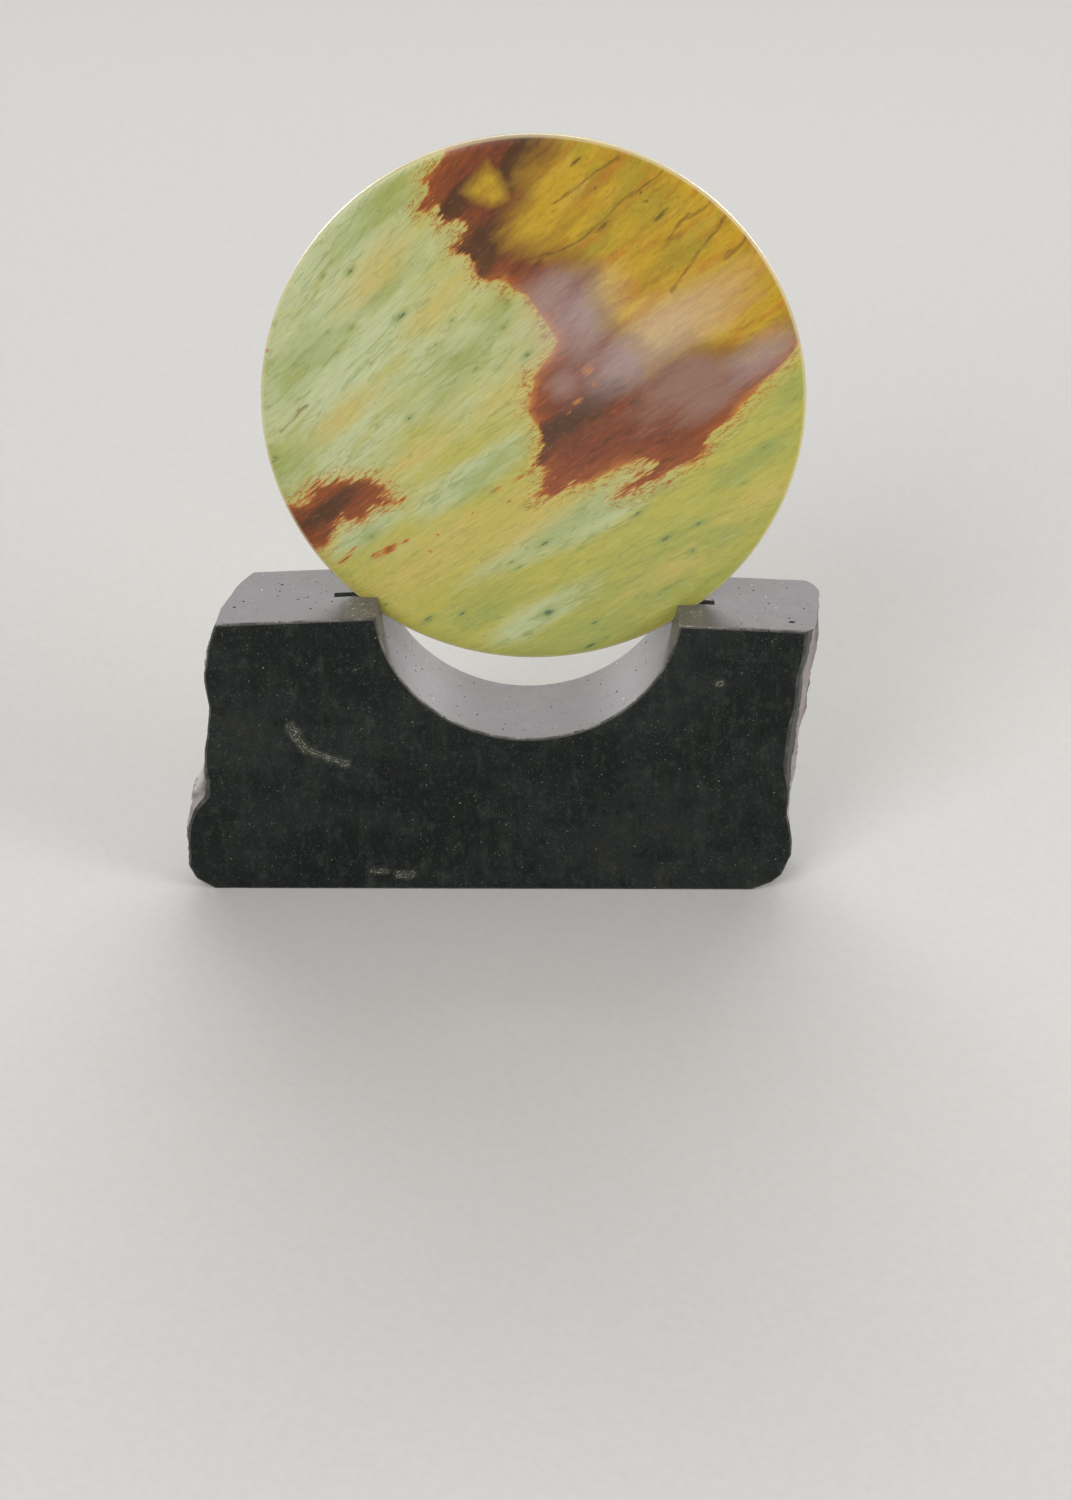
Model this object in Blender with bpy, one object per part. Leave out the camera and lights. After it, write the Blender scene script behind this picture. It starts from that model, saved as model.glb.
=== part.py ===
"""Polished greenstone disc that stands in two slots of a cut-out basalt block.

Blender 4.5, metres, +Z up. The origin is under the middle of the whole piece, on what it stands on.
The front of the block faces -Y, and the disc leans back towards +Y.
"""

import math

import bmesh
import bpy
from mathutils import Matrix, Vector, noise

# Greenstone disc
DISC_DIAMETER = 0.2000
DISC_THICKNESS = 0.0070        # at the middle of the slightly domed faces
FACE_EDGE_THICKNESS = 0.0060   # where the faces start to round over
RIM_THICKNESS = 0.0024         # the narrow band left at the very edge
EDGE_EASING = 0.0070           # radial length of the round-over
DISC_LEAN_DEG = 6.9            # how far the top leans back
DISC_SETBACK = 0.0203          # from the block's front to the middle of the disc, at the block's top

# Basalt block
STAND_WIDTH = 0.2434           # between the outermost points of the two ends
STAND_DEPTH = 0.0420
STAND_HEIGHT = 0.1194          # at the left shoulder's inner corner, its highest point
SHOULDER_STEP = 0.0028         # how much lower the right shoulder's inner corner is
SHOULDER_FALL_DEG = 2.7        # both shoulders fall away outwards
ARRIS = 0.0008                 # eased edge round the front and back faces

# Round cut-out between the shoulders
CUTOUT_RADIUS = 0.0567
CUTOUT_DEPTH = 0.0516          # from the highest corner down to its floor
CUTOUT_X = 0.0105              # its centre lies to the right of the block's middle

# Slots that hold the disc
SLOT_DEPTH = 0.0078            # below the shoulder, at the cut-out
KERF_WIDTH = 0.0034            # width of the saw cut, seen beyond the rim
LEFT_KERF_RUN = 0.0082         # length of saw cut left open beyond the rim
RIGHT_KERF_RUN = 0.0050
SEAT_GAP = 0.0003              # between the rim and the corners that carry it
SIDE_GAP = 0.0004              # between each face of the disc and its slot

# Broken and natural ends, as (share of the shoulder's height, inset from the outermost line)
LEFT_END = ((0.0, 0.0100), (0.037, 0.0033), (0.088, 0.0), (0.17, 0.0002), (0.32, 0.0022), (0.36, 0.0030),
            (0.42, 0.0076), (0.58, 0.0105), (0.70, 0.0112), (0.82, 0.0107), (0.91, 0.0124), (1.0, 0.0161))
LEFT_LEDGE = ((0.04, 0.0005), (0.25, 0.0015), (0.31, 0.0025), (0.36, 0.0060), (0.40, 0.0031),
              (0.44, 0.0010), (0.60, 0.0))
RIGHT_END = ((0.0, 0.0240), (0.03, 0.0166), (0.06, 0.0128), (0.14, 0.0093), (0.19, 0.0093),
             (0.30, 0.0114), (0.39, 0.0107), (0.64, 0.0086), (0.82, 0.0065), (1.0, 0.0049))
RIGHT_BACK = ((0.0, 0.0180), (0.06, 0.0110), (0.23, 0.0084), (0.49, 0.0051), (0.64, 0.0029),
              (0.82, 0.0006), (1.0, 0.0))
RIGHT_BEVEL = ((0.30, 0.0), (0.39, 0.0008), (0.50, 0.0033), (0.58, 0.0038), (0.70, 0.0027),
               (0.90, 0.0022), (1.0, 0.0037))

# The same ends seen from above, over the share of the depth from front to back
LEFT_PLAN = ((0.0, 0.0), (0.30, 0.0003), (0.55, 0.0035), (0.67, 0.0044), (0.80, 0.0061), (0.93, 0.0094),
             (1.0, 0.0115))
RIGHT_TURN = ((0.07, 0.0), (0.50, 0.78), (0.75, 1.0))     # share of the way from front to back outline
RIGHT_CORNER = ((0.80, 0.0), (0.90, 0.0015), (0.96, 0.0042), (1.0, 0.0060))
FRONT_BEVEL_DEPTH = 0.0030     # depth of the ground bevel beside the right end, and of the left ledge
SKIN_RELIEF = 0.0014           # coarse unevenness of the broken ends
SKIN_GRAIN = 0.0180            # size of its bumps

# Colours, as linear red, green and blue, and finish
GREENSTONE_COLOUR = (0.42, 0.47, 0.20)
GREENSTONE_ROUGHNESS = 0.30
BASALT_COLOUR = (0.030, 0.034, 0.035)
BASALT_ROUGHNESS = 0.45

# Fineness of the faceted surfaces
DISC_SEGMENTS = 120
FACE_RINGS = 4
EASING_STEPS = 5
ARC_STEPS = 44
END_STEPS = 22
SHOULDER_STEPS = 4
DEPTH_SHARES = (0.24, 0.38, 0.52, 0.66, 0.80, 0.90, 0.95)     # where the block's inner outlines stand
SMOOTH_ANGLE_DEG = 28.0
MITRE_LIMIT = 0.5              # keeps an eased edge short at a sharp corner
MERGE_DISTANCE = 0.000001

# Places worked out from the dimensions
DISC_RADIUS = DISC_DIAMETER / 2
LEAN = math.radians(DISC_LEAN_DEG)
FALL = math.tan(math.radians(SHOULDER_FALL_DEG))
CUTOUT_Z = STAND_HEIGHT - CUTOUT_DEPTH + CUTOUT_RADIUS


def clear_scene():
    """Removes every object of the open scene."""
    for obj in list(bpy.data.objects):
        bpy.data.objects.remove(obj, do_unlink=True)


def stone_material(name, colour, roughness):
    """A plain stone finish."""
    mat = bpy.data.materials.new(name)
    mat.use_nodes = True
    shader = mat.node_tree.nodes["Principled BSDF"]
    shader.inputs["Base Color"].default_value = (*colour, 1.0)
    shader.inputs["Roughness"].default_value = roughness
    shader.inputs["Metallic"].default_value = 0.0
    return mat


def finish_object(name, bm, mat=None):
    """Turns a bmesh into a named object with smooth shading between its sharp edges."""
    bmesh.ops.recalc_face_normals(bm, faces=bm.faces)
    mesh = bpy.data.meshes.new(name)
    bm.to_mesh(mesh)
    bm.free()
    mesh.shade_smooth()
    mesh.set_sharp_from_angle(angle=math.radians(SMOOTH_ANGLE_DEG))
    obj = bpy.data.objects.new(name, mesh)
    bpy.context.collection.objects.link(obj)
    if mat:
        mesh.materials.append(mat)
    return obj


def along(table, share):
    """Value of a table of (share, value) rows at one share, straight between its rows."""
    if share <= table[0][0]:
        return table[0][1]
    for (low, first), (high, last) in zip(table, table[1:]):
        if share <= high:
            return first + (last - first) * (share - low) / (high - low)
    return table[-1][1]


def corner_z(side):
    """Height of a shoulder's inner corner: side -1 is left, +1 is right."""
    return STAND_HEIGHT if side < 0 else STAND_HEIGHT - SHOULDER_STEP


def wall_x(side, height):
    """Where the cut-out's wall stands on one side at one height."""
    return CUTOUT_X + side * math.sqrt(CUTOUT_RADIUS ** 2 - (height - CUTOUT_Z) ** 2)


def shoulder_z(side, x):
    """Height of a shoulder's top at x: it falls away outwards from its inner corner."""
    top = corner_z(side)
    return top - side * (x - wall_x(side, top)) * FALL


def skin(share, depth, seed):
    """Coarse unevenness of a broken end."""
    place = Vector((share * STAND_HEIGHT / SKIN_GRAIN, depth / SKIN_GRAIN, seed))
    return SKIN_RELIEF * noise.noise(place)


def end_x(side, share, depth):
    """The left or right end of the block, at a share of the shoulder's height and a depth.

    It never stands proud of the block's outermost line."""
    back = depth / STAND_DEPTH
    front_bevel = max(0.0, 1.0 - depth / FRONT_BEVEL_DEPTH)
    if side < 0:
        inset = along(LEFT_END, share) + along(LEFT_PLAN, back) + along(LEFT_LEDGE, share) * front_bevel
    else:
        turn = along(RIGHT_TURN, back)
        inset = along(RIGHT_END, share) * (1.0 - turn) + along(RIGHT_BACK, share) * turn
        inset += along(RIGHT_CORNER, back) + along(RIGHT_BEVEL, share) * front_bevel
    inset = max(0.0, inset + skin(share, depth, side))
    return side * (STAND_WIDTH / 2 - inset)


def end_points(side, depth):
    """Points up one end of the block, from the underside to the shoulder."""
    top = shoulder_z(side, end_x(side, 1.0, depth))
    named = [row[0] for row in (LEFT_END if side < 0 else RIGHT_END)]
    steps = [step / END_STEPS for step in range(END_STEPS + 1)]
    half_step = 0.5 / END_STEPS
    between = [step for step in steps if min(abs(step - share) for share in named) > half_step]
    return [(end_x(side, share, depth), share * top) for share in sorted(named + between)]


def shoulder_points(side, depth):
    """Points between the end of a shoulder and its inner corner, both left out."""
    outer = end_x(side, 1.0, depth)
    inner = wall_x(side, corner_z(side))
    xs = [outer + (inner - outer) * step / SHOULDER_STEPS for step in range(1, SHOULDER_STEPS)]
    return [(x, shoulder_z(side, x)) for x in xs]


def cutout_points():
    """Points round the cut-out, from the right corner down and up to the left one."""
    right, left = corner_z(1), corner_z(-1)
    start = math.atan2(right - CUTOUT_Z, wall_x(1, right) - CUTOUT_X)
    end = math.atan2(left - CUTOUT_Z, wall_x(-1, left) - CUTOUT_X)
    # A left corner above the centre has a positive angle, so it is reached the other way round
    if end > 0.0:
        end -= 2 * math.pi
    angles = [start + (end - start) * step / ARC_STEPS for step in range(ARC_STEPS + 1)]
    return [(CUTOUT_X + CUTOUT_RADIUS * math.cos(angle), CUTOUT_Z + CUTOUT_RADIUS * math.sin(angle))
            for angle in angles]


def section(depth):
    """Closed outline of the block at one depth behind its front, anticlockwise from the left foot.

    The underside has as many steps as the cut-out, so that the flat faces can be divided between them."""
    left, right = end_points(-1, depth), end_points(1, depth)
    foot, other_foot = Vector(left[0]), Vector(right[0])
    underside = [foot.lerp(other_foot, step / ARC_STEPS) for step in range(ARC_STEPS)]
    outline = underside + right + shoulder_points(1, depth) + cutout_points()
    outline += list(reversed(left[1:] + shoulder_points(-1, depth)))
    return [Vector(point) for point in outline]


def eased(outline, inset):
    """The same outline moved inwards by an inset, square to its own edges."""
    moved = []
    for before, point, after in zip(outline[-1:] + outline[:-1], outline, outline[1:] + outline[:1]):
        first = (point - before).normalized()
        second = (after - point).normalized()
        inward = Vector((-first.y - second.y, first.x + second.x)).normalized()
        mitre = max(MITRE_LIMIT, inward.dot(Vector((-first.y, first.x))))
        moved.append(point + inward * (inset / mitre))
    return moved


def block_rings():
    """Outlines from front to back, the first and last drawn in by the arris."""
    inner = [share * STAND_DEPTH for share in DEPTH_SHARES]
    depths = [ARRIS, FRONT_BEVEL_DEPTH] + inner + [STAND_DEPTH - ARRIS]
    rings = [(0.0, eased(section(0.0), ARRIS))]
    rings += [(depth, section(depth)) for depth in depths]
    rings.append((STAND_DEPTH, eased(section(STAND_DEPTH), ARRIS)))
    return rings


def flat_faces(bm, loop):
    """Fills one flat face: a strip under each step of the cut-out, and one face at each end."""
    corner = ARC_STEPS + len(end_points(1, 0.0)) + SHOULDER_STEPS - 1
    for step in range(ARC_STEPS):
        above = loop[corner + step:corner + step + 2]
        bm.faces.new(above + loop[ARC_STEPS - step - 1:ARC_STEPS - step + 1])
    bm.faces.new(loop[ARC_STEPS:corner + 1])
    bm.faces.new(loop[corner + ARC_STEPS:] + loop[:1])


def make_block(mat):
    """The block before its slots: outlines joined from front to back, closed by the two flat faces."""
    bm = bmesh.new()
    loops = []
    for depth, outline in block_rings():
        loops.append([bm.verts.new((point.x, front_y() + depth, point.y)) for point in outline])
    for near, far in zip(loops, loops[1:]):
        for i, vert in enumerate(near):
            bm.faces.new((near[i - 1], vert, far[i], far[i - 1]))
    flat_faces(bm, loops[0])
    flat_faces(bm, loops[-1])
    return finish_object("basalt_stand", bm, mat)


def disc_profile(reach, side_gap):
    """Half outline of the disc as (radius, half thickness), grown by a reach and a side gap."""
    flat = reach - EDGE_EASING
    face_edge = FACE_EDGE_THICKNESS / 2
    rim = RIM_THICKNESS / 2
    dome = (DISC_THICKNESS - FACE_EDGE_THICKNESS) / 2
    shares = [step / FACE_RINGS for step in range(FACE_RINGS)]
    points = [(flat * share, face_edge + dome * (1 - share ** 2) + side_gap) for share in shares]
    for step in range(EASING_STEPS + 1):
        turn = step / EASING_STEPS * math.pi / 2
        half = rim + (face_edge - rim) * math.cos(turn)
        points.append((flat + EDGE_EASING * math.sin(turn), half + side_gap))
    return points


def turned_disc(name, profile, mat=None):
    """Spins a half outline round the disc's own axis, local Y, with its front towards -Y."""
    bm = bmesh.new()
    outline = [(radius, -half) for radius, half in profile]
    outline += [(radius, half) for radius, half in reversed(profile)]
    verts = [bm.verts.new((x, y, 0.0)) for x, y in outline]
    edges = [bm.edges.new(pair) for pair in zip(verts, verts[1:])]
    bmesh.ops.spin(bm, geom=verts + edges, cent=(0, 0, 0), axis=(0, 1, 0), angle=2 * math.pi,
                   steps=DISC_SEGMENTS, use_duplicate=False)
    bmesh.ops.remove_doubles(bm, verts=bm.verts, dist=MERGE_DISTANCE)
    return finish_object(name, bm, mat)


def slot_floor(side):
    """Corner of a slot's floor where it meets the cut-out, as (x, height)."""
    height = corner_z(side) - SLOT_DEPTH
    return wall_x(side, height), height


def disc_centre():
    """Centre of a disc whose rim rests on the corners of both slots.

    Heights are measured along the leaning disc, from the level of the block's top."""
    (left_x, left_z), (right_x, right_z) = slot_floor(-1), slot_floor(1)
    left = Vector((left_x, (left_z - STAND_HEIGHT) / math.cos(LEAN)))
    right = Vector((right_x, (right_z - STAND_HEIGHT) / math.cos(LEAN)))
    half = (right - left) / 2
    rise = math.sqrt((DISC_RADIUS + SEAT_GAP) ** 2 - half.length_squared)
    centre = (left + right) / 2 + Vector((-half.y, half.x)).normalized() * rise
    return centre.x, centre.y


def front_y():
    """Front face of the block: whatever reaches furthest back, block or disc, lies as far behind 0."""
    rise = disc_centre()[1]
    backs = [(rise + radius) * math.sin(LEAN) + half * math.cos(LEAN)
             for radius, half in disc_profile(DISC_RADIUS, 0.0)]
    return -max(STAND_DEPTH, DISC_SETBACK + max(backs)) / 2


def leaning_frame():
    """Frame of the leaning disc: its origin is at the block's top, its local Z runs up the disc."""
    place = Matrix.Translation((0.0, front_y() + DISC_SETBACK, STAND_HEIGHT))
    return place @ Matrix.Rotation(-LEAN, 4, "X")


def make_kerf(side, centre):
    """Cutter for one saw cut, from the middle of the cut-out to its open run beyond the rim."""
    inner_x, floor_z = slot_floor(side)
    floor = (floor_z - STAND_HEIGHT) / math.cos(LEAN)
    shoulder = shoulder_z(side, inner_x) - STAND_HEIGHT
    half_chord = math.sqrt(DISC_RADIUS ** 2 - (centre[1] - shoulder) ** 2)
    run = LEFT_KERF_RUN if side < 0 else RIGHT_KERF_RUN
    outer_x = centre[0] + side * (half_chord + run)
    ceiling = SLOT_DEPTH       # as far above the block's top as the slots go below it
    bm = bmesh.new()
    bmesh.ops.create_cube(bm, size=1.0)
    size = (abs(outer_x - CUTOUT_X), KERF_WIDTH, ceiling - floor)
    bmesh.ops.scale(bm, vec=size, verts=bm.verts)
    middle = ((outer_x + CUTOUT_X) / 2, 0.0, (ceiling + floor) / 2)
    bmesh.ops.translate(bm, vec=middle, verts=bm.verts)
    kerf = finish_object("kerf_left" if side < 0 else "kerf_right", bm)
    kerf.matrix_world = leaning_frame()
    return kerf


def cut(target, cutter):
    """Cuts one object out of another, and leaves the cutter as a hidden guide."""
    cutter.hide_render = True
    cutter.display_type = "WIRE"
    boolean = target.modifiers.new(cutter.name, "BOOLEAN")
    boolean.operation = "DIFFERENCE"
    boolean.solver = "EXACT"
    boolean.object = cutter


def build():
    """Makes the disc, the block and the slots that hold the disc."""
    clear_scene()
    greenstone = stone_material("greenstone", GREENSTONE_COLOUR, GREENSTONE_ROUGHNESS)
    basalt = stone_material("basalt", BASALT_COLOUR, BASALT_ROUGHNESS)
    centre = disc_centre()
    seat = leaning_frame() @ Matrix.Translation((centre[0], 0.0, centre[1]))

    disc = turned_disc("greenstone_disc", disc_profile(DISC_RADIUS, 0.0), greenstone)
    disc.matrix_world = seat

    block = make_block(basalt)
    for side in (-1, 1):
        cut(block, make_kerf(side, centre))

    # Half the seat's gap, so that only the corners of the slots come near the rim
    bed = turned_disc("disc_bed", disc_profile(DISC_RADIUS + SEAT_GAP / 2, SIDE_GAP))
    bed.matrix_world = seat
    cut(block, bed)


build()
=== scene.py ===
"""Finished looks of a greenstone disc that stands in a basalt block.

A polished slice of flower jade leans back in two sawn slots of a block of honed basalt. Both stones are
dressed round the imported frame: each gets a fine mesh of its own that keeps the solid's form, and stone
materials worked out from real sizes. Meshes are in metres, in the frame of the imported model, and patterns
are in millimetres.
"""

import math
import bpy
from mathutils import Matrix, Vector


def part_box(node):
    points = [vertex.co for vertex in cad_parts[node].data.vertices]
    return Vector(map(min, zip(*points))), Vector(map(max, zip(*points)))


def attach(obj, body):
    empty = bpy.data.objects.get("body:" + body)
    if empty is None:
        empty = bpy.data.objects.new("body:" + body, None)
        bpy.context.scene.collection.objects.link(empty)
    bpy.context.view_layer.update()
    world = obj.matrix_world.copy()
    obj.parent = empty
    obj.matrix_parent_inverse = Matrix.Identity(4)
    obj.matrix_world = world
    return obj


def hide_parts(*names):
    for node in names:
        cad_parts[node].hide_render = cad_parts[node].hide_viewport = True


bl_info = {
    "name": "Greenstone Disc on a Basalt Stand",
    "version": (1, 0, 0),
    "blender": (4, 5, 0),
    "location": "View3D > Sidebar > Greenstone",
    "description": "Dresses a polished jade disc, its basalt block and the studio they stand in",
    "category": "Object",
}

import bmesh
import bpy
import numpy as np
from bpy.props import FloatProperty, FloatVectorProperty, PointerProperty
from bpy.types import Operator, Panel, PropertyGroup
from mathutils import Matrix, Vector, noise
from mathutils.geometry import delaunay_2d_cdt

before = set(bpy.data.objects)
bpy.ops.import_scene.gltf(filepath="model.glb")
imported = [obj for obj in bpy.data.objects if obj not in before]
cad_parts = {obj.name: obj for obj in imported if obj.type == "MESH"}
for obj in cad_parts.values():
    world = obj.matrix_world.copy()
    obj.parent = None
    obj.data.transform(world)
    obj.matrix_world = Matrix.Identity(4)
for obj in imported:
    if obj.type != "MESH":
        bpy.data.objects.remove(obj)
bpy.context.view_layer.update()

MM = 0.001
DISC_NODE = "greenstone_disc"
STAND_NODE = "basalt_stand"

# The frame's own places
STAND_LOW, STAND_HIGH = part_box(STAND_NODE)
DISC_LOW, DISC_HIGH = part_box(DISC_NODE)
DISC_CENTRE = (DISC_LOW + DISC_HIGH) / 2
DISC_RADIUS = (DISC_HIGH.x - DISC_LOW.x) / 2
FRONT_Y, BACK_Y = STAND_LOW.y, STAND_HIGH.y

# Disc, as it is turned: the same sizes as the solid
LEAN = math.radians(6.9)
DISC_THICKNESS = 7.0 * MM
FACE_EDGE_THICKNESS = 6.0 * MM
RIM_THICKNESS = 2.4 * MM
EDGE_EASING = 7.0 * MM
DISC_SETBACK = 20.3 * MM

# Block, as it is sawn and broken: the same sizes as the solid
STAND_WIDTH = 243.4 * MM
STAND_DEPTH = BACK_Y - FRONT_Y
STAND_HEIGHT = STAND_HIGH.z
SHOULDER_STEP = 2.8 * MM
SHOULDER_FALL = math.tan(math.radians(2.7))
CUTOUT_RADIUS = 56.7 * MM
CUTOUT_DEPTH = 51.6 * MM
CUTOUT_X = 10.5 * MM
CUTOUT_Z = STAND_HEIGHT - CUTOUT_DEPTH + CUTOUT_RADIUS
SLOT_DEPTH = 7.8 * MM
KERF_WIDTH = 3.4 * MM
KERF_RUNS = {-1: 8.2 * MM, 1: 5.0 * MM}
SEAT_GAP = 0.3 * MM
SIDE_GAP = 0.4 * MM
ARRIS = 0.8 * MM

# Its two ends: (share of the shoulder's height, inset in mm from the outermost line)
LEFT_END = ((0.0, 10.0), (0.037, 3.3), (0.088, 0.0), (0.17, 0.2), (0.32, 2.2), (0.36, 3.0), (0.42, 7.6),
            (0.58, 10.5), (0.70, 11.2), (0.82, 10.7), (0.91, 12.4), (1.0, 16.1))
LEFT_LEDGE = ((0.04, 0.5), (0.25, 1.5), (0.31, 2.5), (0.36, 6.0), (0.40, 3.1), (0.44, 1.0), (0.60, 0.0))
RIGHT_END = ((0.0, 24.0), (0.03, 16.6), (0.06, 12.8), (0.14, 9.3), (0.19, 9.3), (0.30, 11.4), (0.39, 10.7),
             (0.64, 8.6), (0.82, 6.5), (1.0, 4.9))
RIGHT_BACK = ((0.0, 18.0), (0.06, 11.0), (0.23, 8.4), (0.49, 5.1), (0.64, 2.9), (0.82, 0.6), (1.0, 0.0))
RIGHT_BEVEL = ((0.30, 0.0), (0.39, 0.8), (0.50, 3.3), (0.58, 3.8), (0.70, 2.7), (0.90, 2.2), (1.0, 3.7))
# The same ends from above: (share of the depth from front to back, inset in mm)
LEFT_PLAN = ((0.0, 0.0), (0.30, 0.3), (0.55, 3.5), (0.67, 4.4), (0.80, 6.1), (0.93, 9.4), (1.0, 11.5))
RIGHT_TURN = ((0.07, 0.0), (0.50, 0.78), (0.75, 1.0))
RIGHT_CORNER = ((0.80, 0.0), (0.90, 1.5), (0.96, 4.2), (1.0, 6.0))
FRONT_BEVEL_DEPTH = 3.0 * MM
SKIN_RELIEF = 1.4 * MM
SKIN_GRAIN = 18.0 * MM

# Relief of the broken ends: widths of its scallops, lumps and grains, how far it is sunk, and the share of
# a lump's height that a grain has. Towards the faces, and from a little below the top, it calms down to a
# share of itself
SCALLOP_WIDTH = 11.0 * MM
SCALLOP_SINK = 0.3
LUMP_WIDTH = 4.0 * MM
LUMP_FRACTAL = (0.6, 2.0, 3)
GRAIN_WIDTH = 1.6 * MM
GRAIN_SHARE = 0.35
RELIEF_SINK = 0.5 * MM
CALM_BORDER = 3.0 * MM
CALM_TOP = 4.0 * MM
CALM_SHARE = 0.15
# How far the ends' finish reaches in from the sides, and the foot's up from the floor
END_ZONE = 14.0 * MM
FOOT_ZONE = 3.0 * MM
# How squarely a surface has to look forwards or back to be honed, or an arris, and up to be a top
HONED_FACING = 0.99
ARRIS_FACING = 0.15
TOP_FACING = 0.95
# Gas holes: the smallest, how many a square metre has at most, their least and greatest stretch, and the
# angle that they are turned within
SMALLEST_HOLE = 0.35 * MM
HOLE_DENSITY = 600000.0
HOLE_STRETCHES = (0.6, 0.6, 0.6), (1.5, 0.9, 0.9)
FULL_TURN = 6.283
# Large ones are wider than deep, with lumps of this height and width
LARGE_STRETCH = (1.25, 0.9, 1.0)
LARGE_LUMPS = 0.3
LARGE_LUMP_WIDTH = 0.8 * MM

# Fineness of the two meshes
MERGE_DISTANCE = 0.002 * MM
DISC_STEPS = 480
FEWEST_STEPS = 30
DISC_RING = 0.9 * MM
RIM_RING = DISC_RING / 3
END_STEP = 0.9 * MM
SAWN_STEP = 1.6 * MM
UNDERSIDE_STEP = 5.0 * MM
HONED_STEP = 4.0 * MM
ARRIS_STEPS = 3
FACE_RING = 1.25 * ARRIS
LEAST_MITRE = 0.5
SMOOTH_ANGLE = math.radians(35.0)

# Outline of the rust-stained part of the slice: across and up from the disc's centre, in mm.
# Its ragged side runs from the top of the rim down to the middle and out to the right.
STAIN_OUTLINE = (
    (-20, 103), (-31, 92), (-35, 87), (-38.5, 83.5), (-37.5, 79.5), (-41, 72.5), (-35, 74), (-32.5, 68),
    (-26.5, 69.5), (-24, 66), (-29, 57.5), (-23, 57.5), (-21, 50), (-16.5, 47), (-9.5, 47), (-3, 41.5),
    (1.5, 36.5), (6.5, 29.5), (8, 25), (6.5, 20), (3.5, 16), (0.5, 11.5), (0, 7), (-3, -2), (2, -8),
    (3.5, -11.5), (1.5, -24), (6, -24.5), (0.5, -36), (8.5, -34.5), (13, -30), (21.5, -29), (31, -23.5),
    (39, -21), (45, -21.5), (39, -26.5), (30.5, -36), (41.5, -30.5), (52, -23.5), (62, -19), (65, -11.5),
    (70, -7), (79, 3.5), (90, 14.5), (97, 23), (120, 30), (90, 120), (0, 130),
)
# Where the stain is golden ochre and no longer brown, and a small window of the same with a sharper edge
OCHRE_OUTLINE = (
    (10, 110), (5, 95), (-0.5, 89.5), (-3.5, 86), (-4.5, 77), (-8.5, 71.5), (-11, 64), (-10, 58.5),
    (-0.5, 57), (9.5, 55), (19, 51), (22, 40), (25, 32), (32, 25), (39.5, 20.5), (42, 13), (47.5, 17.5),
    (56, 22), (64.5, 20), (78, 19), (88, 21), (97, 27), (120, 33), (100, 110),
)
WINDOW_OUTLINE = ((-16, 91), (-25, 79), (-22, 76.5), (-14, 74), (-8.5, 76.5), (-12.5, 86))
WINDOW_SHARPNESS = 2.6
# Brown patch at the lower left of the rim
PATCH_OUTLINE = (
    (-98, -46), (-90, -40.5), (-84, -37), (-80.5, -32), (-77.5, -30.5), (-71.5, -29), (-65.5, -28.5),
    (-61.5, -28.5), (-57, -30.5), (-53.5, -33), (-56.5, -35.5), (-51.5, -37), (-59.5, -39.5), (-63, -44),
    (-67.5, -45.5), (-71, -43), (-73.5, -48), (-77, -54), (-81.5, -57), (-90, -64), (-100, -56),
)

# The jade's grain fans out from a point far to the lower left of the disc's centre, in mm
GRAIN_POLE = (-370.0, -289.0)
GRAIN_REACH = 470.0
# Its pattern slants a little from front to back, in mm, and is finer through the slice than along it
SLANT = (5.0, -4.0)
THROUGH_FINENESS = 1.5
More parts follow.
